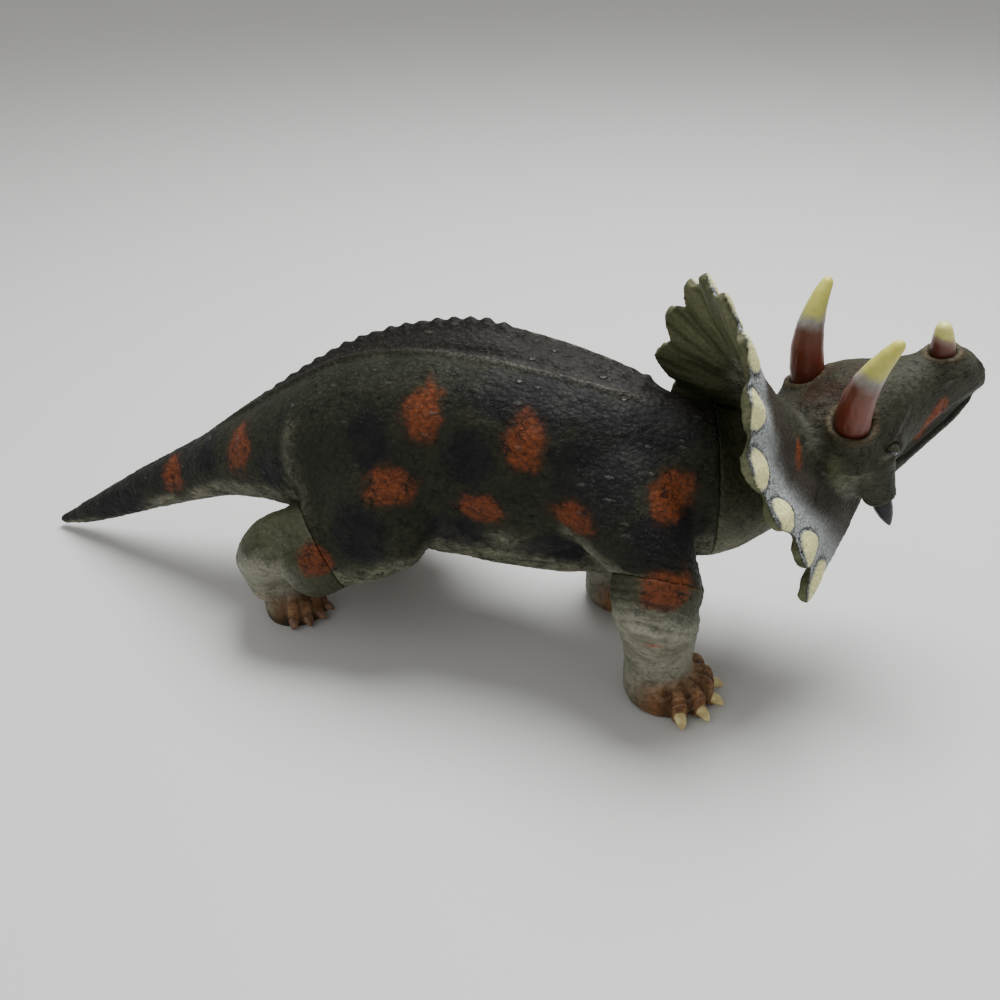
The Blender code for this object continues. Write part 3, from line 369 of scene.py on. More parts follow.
class Skin:
    # a dense mesh whose points are smoothed, sculpted and painted
    def __init__(self, name, mesh):
        self.name = name
        self.mesh = mesh
        count = len(mesh.vertices)
        flat = np.empty(count * 3)
        mesh.vertices.foreach_get("co", flat)
        self.points = flat.reshape(-1, 3)
        ends = np.empty(len(mesh.edges) * 2, dtype=np.int32)
        mesh.edges.foreach_get("vertices", ends)
        self.ends = ends.reshape(-1, 2)
        self.valence = np.maximum(np.bincount(ends, minlength=count), 1)
        self.readNormals()

    def readNormals(self):
        self.mesh.vertices.foreach_set("co", self.points.ravel())
        self.mesh.update()
        flat = np.empty(len(self.mesh.vertices) * 3, dtype=np.float32)
        self.mesh.vertex_normals.foreach_get("vector", flat)
        self.normals = flat.reshape(-1, 3).astype(float)

    def average(self, values):
        # the mean of each point's neighbours
        a, b = self.ends[:, 0], self.ends[:, 1]
        count = len(self.valence)
        if values.ndim == 1:
            total = np.bincount(a, values[b], count) + np.bincount(b, values[a], count)
            return total / self.valence
        return np.stack([self.average(values[:, axis]) for axis in range(values.shape[1])], axis=1)

    def blur(self, values, times):
        for _ in range(times):
            values = values * 0.4 + self.average(values) * 0.6
        return values

    def relax(self, times, weight=1.0):
        # smooths out facets and puts the lost fullness back
        start = self.points.copy()
        pull = np.broadcast_to(weight, len(self.points))[:, None] * 0.6
        for _ in range(times):
            self.points = self.points + (self.average(self.points) - self.points) * pull
        self.readNormals()
        lost = ((start - self.points) * self.normals).sum(axis=1)
        self.points = self.points + self.normals * self.blur(lost, times)[:, None]
        self.readNormals()

    def lift(self, height):
        self.points = self.points + self.normals * height[:, None]

    def near(self, path):
        # distance of each point to a polyline, and how far along it the nearest place is
        path = np.array(path, dtype=float)
        best = np.full(len(self.points), 1.0)
        along = np.zeros(len(self.points))
        steps = len(path) - 1
        for i in range(steps):
            start, span = path[i], path[i + 1] - path[i]
            t = np.clip(((self.points - start) @ span) / (span @ span), 0, 1)
            away = np.linalg.norm(self.points - start - t[:, None] * span, axis=1)
            closer = away < best
            best[closer] = away[closer]
            along[closer] = (i + t[closer]) / steps
        return best, along

    def highest(self, x, y):
        # the highest point of the skin over a place
        close = np.hypot(self.points[:, 0] - x, self.points[:, 1] - y) < 1.6 * mm
        heights = self.points[close, 2]
        return (x, y, heights[heights > heights.max() - 4 * mm].mean())

    def onto(self, path):
        # a path moved to the nearest points of the skin
        return [self.points[np.argmin(((self.points - place) ** 2).sum(axis=1))] for place in path]

    def snap(self, joint, reach, target):
        # brings the points beside a seam onto its plane, so that its edge stays crisp
        axis = np.array(joint["axis"])
        gap = self.points - np.array(joint["pos_m"])
        depth = gap @ axis
        close = (abs(depth) < reach) & (np.linalg.norm(gap, axis=1) < 45 * mm)
        self.points[close] -= axis * (depth[close] - target)[:, None]

    def stroke(self, path, width, height, fade=0.25):
        # a raised or sunk line along a path, thinning toward its ends
        away, along = self.near(path)
        ends = smooth(along, 0, fade) * smooth(1 - along, 0, fade) if fade else 1.0
        return height * np.exp(-(away / width) ** 2) * ends

    def paint(self, name, values):
        layer = self.mesh.attributes.new(name, "FLOAT", "POINT")
        layer.data.foreach_set("value", np.clip(values, 0, 1).astype(np.float32))

    def done(self, material, body, nodeName):
        self.readNormals()
        self.mesh.materials.clear()
        self.mesh.materials.append(material)
        self.mesh.shade_smooth()
        made = bpy.data.objects.new(self.name, self.mesh)
        bpy.context.scene.collection.objects.link(made)
        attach(made, body)
        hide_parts(nodeName)
        print(self.name, len(self.mesh.vertices), "points")
        return made


def jointNamed(name):
    return next(joint for joint in frame["joints"] if joint["name"] == name)


# trunk and tail
bodySet = {
    "voxel": 1.17 * mm,
    "neckHole": 18 * mm,
    "legHole": 10 * mm,
    "pebble": (3.6 * mm, 2.6 * mm, 2.2 * mm),
    "pebbleHeight": 0.28 * mm,
    "wrinkleHeight": 0.38 * mm,
    "mirrorShift": 5 * mm,
    # centre x, y, z and the half sizes along the body and down the flank, in millimetres
    "orange": (
        (14, -37, 118, 9.0, 12.0), (56, -38, 113, 9.0, 11.5), (3, -47, 90, 11.5, 8.5),
        (40, -43, 84, 11, 7.5),
        (78, -46, 88.5, 11.5, 6.5), (113, -38, 99, 9.0, 9.0), (-128, -14, 54, 8.5, 10.0),
        (-81, -25, 81, 9.5, 11.0),
    ),
    "soot": (
        (-8, -40, 106, 10, 13), (34, -42, 105, 11, 12), (84, -37, 107, 19, 15), (-8, -56, 69, 13, 13),
        (28, -43, 70, 15, 9), (71, -41, 69, 15, 9), (115, -47, 86, 16, 11), (-104, -17, 71, 8, 9),
        (-178, -5, 26, 30, 20), (-60, -34, 80, 8, 10), (95, -25, 118, 26, 11), (60, -26, 126, 34, 10),
        (88, -36, 98, 15, 13),
    ),
    "tones": {
        "olive": ((0.016, 0.019, 0.008), (0.031, 0.033, 0.017)),
        "belly": (0.21, 0.205, 0.140),
        "soot": (0.0075, 0.0075, 0.0095),
        "band": ((0.009, 0.0078, 0.0062), (0.019, 0.016, 0.013)),
        "spot": ((0.062, 0.020, 0.007), (0.210, 0.052, 0.016)),
        # light grey of the painted highlight along the ridge lines
        "worn": (0.115, 0.106, 0.086),
        # light grey of the painted dust specks and of the painted highlights on the raised dashes
        "dust": (0.090, 0.086, 0.074),
        # near black of the painted shade in cracks, folds and creases
        "crack": (0.004, 0.004, 0.004),
    },
    # fold of skin behind each hip, on the right; its crest gets a painted highlight in the belly's pale
    # tone
    "hipFold": ((-49, -26, 107), (-48, -36, 92), (-46, -42, 77), (-38, -50, 64)),
    # first and last scute along X, how many, their width and height, in millimetres
    "scutes": (-101.2, 92.6, 28, 2.4, 1.3),
    # x, middle y, half width and z of the band along the back, in millimetres
    "band": (
        (-116, 0, 1.2, 71), (-82, 0, 4.6, 94), (-34, 0, 8.2, 123.5), (-1, 0, 12.4, 133.6),
        (29, 0, 16, 137.5), (59, 0, 15.5, 134), (84, -2, 13.0, 130), (103, -3, 8.0, 123.8),
    ),
}


def blotches(skin, table, soft, seed):
    # soft round patches on both flanks, their edges broken by noise
    wobble = cloudField(skin.points, 7 * mm, seed) * 0.30
    wobble += cloudField(skin.points, 2.6 * mm, seed + 1) * 0.22
    total = np.zeros(len(skin.points))
    for index, (x, y, z, length, height) in enumerate(table):
        for side in (1, -1):
            shift = 0 if side == 1 else bodySet["mirrorShift"] * math.sin(3.1 * index)
            centre = np.array((x * mm + shift, y * side * mm, z * mm + shift / 3))
            gap = skin.points - centre
            down = (gap[:, 1] * 0.5) ** 2 + gap[:, 2] ** 2
            away = np.sqrt((gap[:, 0] / (length * mm)) ** 2 + down / (height * mm) ** 2)
            nearSide = smooth(-side * skin.points[:, 1], 0, 8 * mm)
            total = np.maximum(total, (1 - smooth(away + wobble, 1 - soft, 1 + soft)) * nearSide)
    return total


def vinylGrain(paint, size):
    # fine pebbles, cracks between them and short raised dashes; size scales all three
    place = paint.place()
    fine = paint.cloud(place, 760 / size, 3, 0.65)
    adding = {"operation": "ADD"}
    warped = paint.node("ShaderNodeVectorMath", adding, {0: paint.place((0.75, 1, 1.05)), 1: fine * 0.0012})
    pebbles = 1.0 - paint.cells(warped, 540 / size)
    edge = paint.cells(warped, 440 / size, "DISTANCE_TO_EDGE")
    broken = paint.step(paint.cloud(place, 240 / size, 2), 0.50, 0.66)
    cracks = (1.0 - paint.step(edge, 0.03, 0.16)) * broken
    stretched = paint.node("ShaderNodeVectorMath", adding, {0: paint.place((0.5, 1, 1.5)), 1: fine * 0.002})
    dashes = 1.0 - paint.step(paint.cells(stretched, 140 / size), 0.08, 0.19)
    return fine, pebbles, cracks, dashes


def seamPatch(skin, place):
    # the orange patch that a lower leg and the trunk share across a seam
    side = 1 if "left" in place else -1
    seam = np.array(jointNamed(place + "_swivel")["pos_m"])
    centre, sizes = legSet["hindPatch" if "hind" in place else "frontPatch"]
    away = (skin.points - seam) / mm - np.array((centre[0], -centre[1] * side, centre[2]))
    patch = np.linalg.norm(away / np.array(sizes), axis=1) + cloudField(skin.points, 5 * mm, 9) * 0.25
    outward = smooth(side * (skin.points[:, 1] - seam[1]) / mm, -2.0, 6.0)
    return (1 - smooth(patch, 0.5, 1.3)) * outward


def seamCreases(skin):
    # wrinkles of the trunk round the top of each front leg
    total = np.zeros(len(skin.points))
    broken = smooth(cloudField(skin.points, 9 * mm, 15), -0.3, 0.3)
    for place in ("front_right", "front_left"):
        joint = jointNamed(place + "_swivel")
        gap = (skin.points - np.array(joint["pos_m"])) / mm
        depth = gap @ np.array(joint["axis"]) + cloudField(skin.points, 9 * mm, 16) * 1.5
        close = 1 - smooth(np.linalg.norm(gap, axis=1), 20, 27)
        for height in (-3.0, -6.2, -10.0):
            total = np.maximum(total, np.exp(-((depth - height) / 0.8) ** 2) * close * (0.3 + 0.7 * broken))
    return total


def bodyPaint():
    tone = bodySet["tones"]
    paint = Paint("paintedVinylSkin", Roughness=0.55, Specular_IOR_Level=0.16)
    place = paint.place()
    mottle = paint.cloud(place, 90, 4)
    fine, pebbles, cracks, dashes = vinylGrain(paint, 1.0)
    paint.colour = paint.mix(paint.step(mottle, 0.35, 0.68), *tone["olive"])
    paint.cover(paint.mask("pale") * paint.step(mottle + fine * 0.5, 0.45, 0.95), tone["belly"])
    paint.cover(paint.mask("soot") * (0.55 + paint.step(mottle, 0.25, 0.6) * 0.45), tone["soot"])
    paint.cover("band", paint.mix(paint.step(fine, 0.4, 0.7), *tone["band"]))
    spotHeart = paint.step(paint.mask("orange"), 0.45, 0.95) * (0.35 + paint.step(fine, 0.3, 0.7) * 0.65)
    spotEdge = paint.step(paint.mask("orange") + (fine - 0.5) * 0.6 + (mottle - 0.5) * 0.3, 0.15, 1.15)
    paint.cover(spotEdge * 0.95, paint.mix(spotHeart, *tone["spot"]))
    # painted highlight along the raised ridge lines beside the back band
    paint.cover(paint.mask("worn") * paint.step(fine, 0.38, 0.62), tone["worn"])
    # light specks on up-facing skin as painted dust, and painted highlights (glints) on the raised dashes
    # there
    dust = paint.step(paint.cloud(place, 1100, 2), 0.58, 0.70) * paint.mask("dust")
    paint.cover((dust * 0.4 + dashes * paint.mask("dust") * 0.5).clamped(), tone["dust"])
    # painted shade in the skin's folds and creases and in the cracks between pebbles
    paint.cover((paint.mask("pit") * 0.6 + cracks * 0.75).clamped(), tone["crack"])
    # painted shade between pebbles: colour darker at their edges and lighter on their tops
    paint.feed("Base Color", paint.shade(paint.colour, 0.55 + pebbles * 0.65))
    paint.feed("Roughness", 0.56 + paint.step(mottle, 0.3, 0.7) * 0.12 - dashes * 0.30)
    relief = pebbles * 0.7 + dashes * 1.3 - cracks * 0.35 + fine * 0.4
    paint.feed("Normal", paint.bump(relief, 0.42 * mm, 1.0))
    return paint.material


def makeBody():
    joints = [(jointNamed("neck_turn"), bodySet["neckHole"])]
    joints += [(jointNamed(name + "_swivel"), bodySet["legHole"])
               for name in ("front_left", "front_right", "hind_left", "hind_right")]
    skin = Skin("bodySkin", denseMesh("body_shell", bodySet["voxel"], joints, False))
    band = np.array(bodySet["band"]) * mm
    x, y, z = skin.points.T
    middle = np.interp(x, band[:, 0], band[:, 1])
    half = np.interp(x, band[:, 0], band[:, 2])
    top = np.interp(x, band[:, 0], band[:, 3])
    onBack = (z > top - 6 * mm) & (abs(y - middle) < half * np.where(x > 40 * mm, 0.5, 1.0) + 2 * mm)
    rimGap = np.full(len(x), 1.0)
    for joint, radius in joints:
        axis = np.array(joint["axis"])
        gap = skin.points - np.array(joint["pos_m"])
        rimGap = np.minimum(rimGap, abs(gap @ axis) + np.maximum(np.linalg.norm(gap, axis=1) - 36 * mm, 0))
    calm = smooth(rimGap, 0.8 * mm, 5 * mm)
    for joint, radius in joints:
        skin.snap(joint, 0.8 * mm, -0.03 * mm)
    backHold = 0.10 + 0.20 * (1 - smooth(x, -20 * mm, 30 * mm))
    skin.relax(46, np.where(onBack, backHold, 1.0) * (0.02 + 0.98 * calm))
    skin.relax(3, 0.6 * calm)

    x, y, z = skin.points.T
    across = abs(y - np.interp(x, band[:, 0], band[:, 1]))
    half = np.interp(x, band[:, 0], band[:, 2])
    bandMask = 1 - smooth(across, half - 1.5 * mm, half + 1.5 * mm)
    bandMask *= smooth(z, top - 16 * mm, top - 9 * mm) * smooth(x, -100 * mm, -60 * mm)
    ridge = np.zeros(len(x))
    for side in (1, -1):
        edge = [skin.highest(row[0], row[1] + side * row[2]) for row in moreRows(band, 6)]
        ridge += skin.stroke(edge, 1.5 * mm, 1.0, 0.12)

    stretch = np.array(bodySet["pebble"])
    gap = cellField(skin.points / stretch * (3 * mm), 3 * mm, 1)
    pebble = smooth(gap, 0.02, 0.45) * (0.5 + 0.5 * smooth(cloudField(skin.points, 9 * mm, 3), -0.2, 0.3))
    folds = 1 - abs(cloudField(skin.points / np.array((2.0, 1.0, 0.8)), 5.5 * mm, 5)) * 2.2
    under = smooth(-skin.normals[:, 2], -0.25, 0.6)
    low = np.maximum(under, 1 - smooth(z, 55 * mm, 85 * mm))
    relief = pebble * bodySet["pebbleHeight"]
    relief -= smooth(folds, 0.55, 1.0) * bodySet["wrinkleHeight"] * (0.12 + 0.88 * low)
    relief += cloudField(skin.points, 14 * mm, 7) * 0.4 * mm
    creases = seamCreases(skin)
    relief -= creases * 0.45 * mm
    hip = np.zeros(len(x))
    for side in (1, -1):
        route = np.array(bodySet["hipFold"]) * (mm, side * mm, mm)
        fold = skin.onto(moreRows(route, 4))
        hip = np.maximum(hip, skin.stroke(fold, 4.0 * mm, 1.0, 0.2))
        relief -= skin.stroke(np.array(fold) - (6 * mm, 0, 0), 2.4 * mm, 0.9 * mm, 0.2)
    relief += hip * 0.8 * mm
    first, last, count, width, height = bodySet["scutes"]
    phase = (x / mm - first) / (last - first) * (count - 1)
    aside = (y - np.interp(x, band[:, 0], band[:, 1])) / mm - 9.5 * smooth(x, 10 * mm, 70 * mm)
    onward = (phase - np.round(phase)) * (last - first) / (count - 1)
    beads = np.exp(-(onward ** 2 + aside ** 2) / width ** 2)
    beads = beads * smooth(phase, -0.6, 3) * smooth(count - phase, 0.4, 1.2) * (z > top - 9 * mm)
    beads = beads * (0.3 + 1.1 * smooth(x, 10 * mm, 60 * mm))
    skin.lift(relief * calm * (1 - 0.75 * bandMask) + (ridge * 1.2 * calm + beads * height) * mm)

    wobble = cloudField(skin.points, 8 * mm, 8) * 0.5 + cloudField(skin.points, 3 * mm, 9) * 0.3
    spots = blotches(skin, bodySet["orange"], 0.55, 11)
    for place in ("front_right", "front_left", "hind_right", "hind_left"):
        spots = np.maximum(spots, seamPatch(skin, place))
    skin.paint("orange", spots * (1 - bandMask))
    tail = (1 - smooth(x, -125 * mm, -85 * mm)) * smooth(skin.normals[:, 2] + wobble * 0.4, -0.5, 0.3)
    soot = np.maximum(blotches(skin, bodySet["soot"], 0.42, 21), 0.30 * smooth(z, 60 * mm, 90 * mm))
    # the black is thinned on the hip folds, where their painted highlight goes
    skin.paint("soot", np.maximum(soot, tail * 0.7) * (1 - hip * 0.8))
    skin.paint("band", bandMask * 0.9)
    pale = smooth(under + wobble * 0.35, 0.35, 0.95) * (1 - smooth(z, 78 * mm, 95 * mm))
    # pale belly underneath, and a painted highlight along each hip fold
    skin.paint("pale", np.maximum(pale, hip * 0.45))
    # painted highlight on the ridge lines, from the hips forward
    skin.paint("worn", np.clip(ridge, 0, 1) * 0.75 * smooth(x, -20 * mm, 40 * mm))
    # up-facing skin, where the light specks and the painted highlights on the dashes go
    skin.paint("dust", smooth(skin.normals[:, 2], 0.1, 0.7))
    # painted shade in the deep folds, stronger low down and underneath, and in the creases round the front
    # legs
    foldShade = smooth(folds, 0.7, 1.0) * (0.15 + 0.5 * low) * (1 - bandMask)
    skin.paint("pit", np.maximum(foldShade, creases * 0.8) * calm)
    skin.done(bodyPaint(), "body", "body_shell")


# head and frill
headSet = {
    "voxel": 0.9 * mm,
    "plugRadius": 17 * mm,
    "origin": (162.56, 18.23, 119.0),   # middle of the brow, in millimetres
    "yaw": 32.8,
    "pitch": 16.7,
    "roll": 7.0,
    "frillCentre": (-29.15, 0.0, -5.68),
    "frillLean": 6.4,
    "frillWidth": 91.9,
    "frillHeight": 141.2,
    "notches": (0.0, 19.3, 38.8, 57.0, 78.5, 98.0, 116.5, 133.0),
    "tones": {
        "skin": ((0.034, 0.034, 0.021), (0.055, 0.056, 0.038)),
        "brown": (0.030, 0.016, 0.007),
        "tan": (0.105, 0.078, 0.042),
        "leaf": ((0.050, 0.055, 0.024), (0.170, 0.175, 0.095)),
        "neck": ((0.030, 0.034, 0.017), (0.062, 0.064, 0.036)),
        "slate": ((0.034, 0.028, 0.021), (0.052, 0.044, 0.035)),
        "frost": (0.46, 0.50, 0.50),
        "throat": (0.32, 0.315, 0.220),
        # near black of the painted shade in the mouth line, nostrils and pits
        "dark": (0.010, 0.010, 0.010),
        "rust": ((0.140, 0.028, 0.008), (0.270, 0.070, 0.022)),
        "cream": ((0.78, 0.76, 0.33), (0.95, 0.94, 0.50)),
        "outline": (0.012, 0.013, 0.015),
        # near black of the painted shade in cracks and folds
        "crack": (0.006, 0.006, 0.006),
    },
    # way round the rim and the rim's size there
    "rim": (
        (0.0, 1.010), (0.168, 0.983), (0.335, 0.961), (0.492, 0.915), (0.650, 0.912),
        (0.817, 0.964), (1.0, 1.087),
    ),
}

headTurn = (
    Matrix.Rotation(math.radians(headSet["yaw"]), 3, "Z")
    @ Matrix.Rotation(math.radians(-headSet["pitch"]), 3, "Y")
    @ Matrix.Rotation(math.radians(headSet["roll"]), 3, "X")
)


def headLocal(points):
    # row-frame points in the head's own frame, in millimetres: forward, left, up
    return (points / mm - np.array(headSet["origin"])) @ np.array(headTurn)


def headWorld(points):
    return (np.array(points, dtype=float) @ np.array(headTurn).T + np.array(headSet["origin"])) * mm


def headPaint():
    tone = headSet["tones"]
    paint = Paint("paintedVinylHead", Roughness=0.58, Specular_IOR_Level=0.13)
    place = paint.place()
    mottle = paint.cloud(place, 110, 4)
    fine, pebbles, cracks, dashes = vinylGrain(paint, 0.72)
    paint.colour = paint.mix(paint.step(mottle, 0.3, 0.7), *tone["skin"])
    paint.cover(paint.mask("brown") * paint.step(mottle, 0.25, 0.6), tone["brown"])
    paint.cover(paint.mask("tan") * paint.step(fine, 0.3, 0.6), tone["tan"])
    leafMix = (paint.mask("streak") * 0.8 + mottle * 0.3).clamped()
    paint.cover("back", paint.mix(leafMix, *tone["leaf"]))
    paint.cover("neck", paint.mix(mottle, *tone["neck"]))
    paint.cover("front", paint.mix(paint.step(mottle, 0.3, 0.7), *tone["slate"]))
    frost = paint.step(paint.mask("frost") + (fine - 0.5) * 0.45 + (mottle - 0.5) * 0.3, 0.10, 1.0)
    paint.cover(frost * 0.9, tone["frost"])
    paint.cover(paint.mask("pale") * paint.step(mottle + fine * 0.3, 0.35, 0.85), tone["throat"])
    # painted shade in the mouth line, nostrils and pits
    paint.cover("dark", tone["dark"])
    rustEdge = paint.step(paint.mask("orange") + (fine - 0.5) * 0.5, 0.15, 1.0)
    paint.cover(rustEdge * 0.92, paint.mix(fine, *tone["rust"]))
    paint.cover("cream", paint.mix(paint.step(fine, 0.3, 0.7), *tone["cream"]))
    veins = 1.0 - paint.step(paint.cells(place, 620, "DISTANCE_TO_EDGE"), 0.02, 0.14)
    veins = veins * paint.step(fine, 0.40, 0.52)
    paint.cover((veins * paint.mask("crackle") * 0.7 + paint.mask("outline")).clamped(), tone["outline"])
    # painted shade in the skin's folds and the cracks between pebbles; below, colour darker at the pebbles'
    # edges
    paint.cover((paint.mask("pit") * 0.6 + cracks * paint.mask("skin") * 0.55).clamped(), tone["crack"])
    paint.feed("Base Color", paint.shade(paint.colour, 0.66 + pebbles * 0.48))
    paint.feed("Roughness", 0.52 + paint.step(mottle, 0.3, 0.7) * 0.14)
    relief = pebbles * 0.6 - cracks * 0.4 + fine * 0.4 + dashes * 0.2
    paint.feed("Normal", paint.bump(relief, 0.34 * mm, 1.0))
    return paint.material


def makeHead():
    joint = jointNamed("neck_turn")
    plugs = [(joint, headSet["plugRadius"])]
    skin = Skin("headSkin", denseMesh("head_shell", headSet["voxel"], plugs, True))
    local = headLocal(skin.points)
    axis = np.array(joint["axis"])
    seamGap = abs((skin.points - np.array(joint["pos_m"])) @ axis)
    onFrill, angle, reach, facing = frillPlaces(skin, local)
    skin.snap(joint, 0.7 * mm, 0.04 * mm)
    keep = np.where(onFrill > 0.5, 0.10, 1.0) * (0.02 + 0.98 * smooth(seamGap, 0.5 * mm, 4 * mm))
    skin.relax(26, keep)
    skin.relax(3, 0.5 * smooth(seamGap, 0.2 * mm, 1.5 * mm))

    local = headLocal(skin.points)
    onFrill, angle, reach, facing = frillPlaces(skin, local)
    front = onFrill * smooth(facing, -0.05, 0.35)
    back = onFrill * smooth(-facing, 0.0, 0.4)
    oval, ridge = scallopFields(angle, reach)
    scallop = 1 - smooth(oval, 0.80, 1.15)
    outline = np.exp(-((oval - 1.30) / 0.28) ** 2)
    streaks = cloudField(np.stack([angle * 0.35, reach * 3, angle * 0], axis=1) * mm, 1 * mm, 12)
    relief = np.zeros(len(local))
    relief += front * (scallop * 0.55 - outline * 0.35)
    relief += back * smooth(reach, 0.25, 0.9) * (ridge * 0.35 + streaks * 0.35)
    pointed = 0.6 * smooth(ridge, 0.75, 1.0) - 1.1 * smooth(1 - abs(ridge + 0.1), 0.2, 1.0)
    pointed = pointed * smooth(reach, 0.86, 1.0)
    turn = np.radians(angle)
    outward = np.stack([np.zeros(len(turn)), -np.sin(turn), np.cos(turn)], axis=1)
    skin.points = skin.points + outward @ np.array(headTurn).T * (pointed * onFrill * mm)[:, None]
    gap = cellField(skin.points, 2.4 * mm, 2)
    pebble = smooth(gap, 0.02, 0.5) * (1 - onFrill * 0.8)
    folds = 1 - abs(cloudField(skin.points, 4.5 * mm, 6)) * 2.4
    neckFolds = neckMask(local) * smooth(-skin.normals[:, 2], -0.7, 0.5)
    relief += pebble * 0.12 - smooth(folds, 0.7, 1.0) * (0.10 + 0.35 * neckFolds) * (1 - onFrill)
    carve, dark, orange, brown = faceStrokes(skin, local)
    relief += carve + hornRims(skin) * 0.7 + eyeRims(skin) * 0.8
    room = np.where(onFrill > 0.5, 1 - smooth(reach, 1.04, 1.10), 1.0)
    skin.lift(relief * mm * room * (0.2 + 0.8 * smooth(seamGap, 0.5 * mm, 3 * mm)))

    neck = neckMask(local) * (1 - onFrill)
    skin.paint("back", back)
    skin.paint("neck", neck)
    skin.paint("streak", 0.5 + streaks * 0.9 + ridge * 0.25)
    skin.paint("front", front)
    skin.paint("frost", front * smooth(reach, 0.60, 0.94))
    skin.paint("tan", hornRims(skin))
    skin.paint("crackle", front * smooth(reach, 0.74, 0.90) * (1 - scallop))
    skin.paint("outline", front * outline * (0.5 + 0.5 * smooth(streaks, -0.3, 0.3)) * 0.9)
    skin.paint("cream", front * scallop)
    skin.paint("skin", 1 - onFrill)
    throat = smooth(-skin.normals[:, 2], -0.2, 0.6) * (1 - smooth(local[:, 0], -20, 5))
    skin.paint("pale", throat * (1 - onFrill))
    # painted shade in the mouth line, nostrils and pits
    skin.paint("dark", dark)
    skin.paint("orange", orange * (0.85 + 0.5 * cloudField(skin.points, 3 * mm, 18)))
    skin.paint("brown", brown)
    # painted shade in the deep folds of the head's skin
    skin.paint("pit", smooth(folds, 0.7, 1.0) * 0.5 * (1 - onFrill))
    skin.done(headPaint(), "head", "head_shell")


def frillPlaces(skin, local):
    # for each point: whether it is on the frill, its angle from the top,
    # its reach to the rim and which way it faces
    lean = math.tan(math.radians(headSet["frillLean"]))
    centre = np.array(headSet["frillCentre"])
    across = -(local[:, 1] - centre[1]) / (headSet["frillWidth"] / 2)
    rise = (local[:, 2] - centre[2]) / (headSet["frillHeight"] / 2)
    angle = np.degrees(np.arctan2(across, rise))
    rim = np.array(headSet["rim"])
    size = np.interp(abs(angle) / headSet["notches"][-1], rim[:, 0], rim[:, 1])
    reach = np.hypot(across, rise) / size
    plane = centre[0] - lean * (local[:, 2] - centre[2])
    behind = local[:, 0] - plane
    facing = headLocalNormals(skin)[:, 0]
    onFrill = smooth(-behind, -22.0, -12.0) * smooth(reach, 0.50, 0.62)
    return onFrill, angle, reach, facing


def headLocalNormals(skin):
    return skin.normals @ np.array(headTurn)


def scallopFields(angle, reach):
    # under 1 inside a scallop's raised oval, and a wave that is 1 on its middle line and -1 at the notches
    marks = np.array(headSet["notches"])
    place = np.interp(abs(angle), marks, np.arange(len(marks)))
    t = place - np.floor(place)
    wave = np.cos(2 * math.pi * (t - 0.5))
    oval = ((t - 0.5) / 0.36) ** 2 + ((reach - 1.0) / 0.105) ** 2
    return oval, wave


def neckMask(local):
    return 1 - smooth(local[:, 0], -34.0, -24.0)


def hornRims(skin):
    # 1 on the skin round the base of each horn
    total = np.zeros(len(skin.points))
    for nodeName, rim in (("brow_horn_left", 8.6), ("brow_horn_right", 8.6), ("nose_horn", 6.6)):
        away = np.linalg.norm(skin.points / mm - np.array(hornSet["seats"][nodeName]), axis=1)
        total = np.maximum(total, np.exp(-((away - rim) / 1.3) ** 2))
    return total


def eyeRims(skin):
    # 1 on the folds that run round each eye
    total = np.zeros(len(skin.points))
    for nodeName in ("eye_left", "eye_right"):
        away = np.linalg.norm(skin.points - np.array(eyeSet[nodeName]) * mm, axis=1) / mm
        total = np.maximum(total, np.exp(-((away - eyeSet["rim"]) / 1.2) ** 2))
    return total


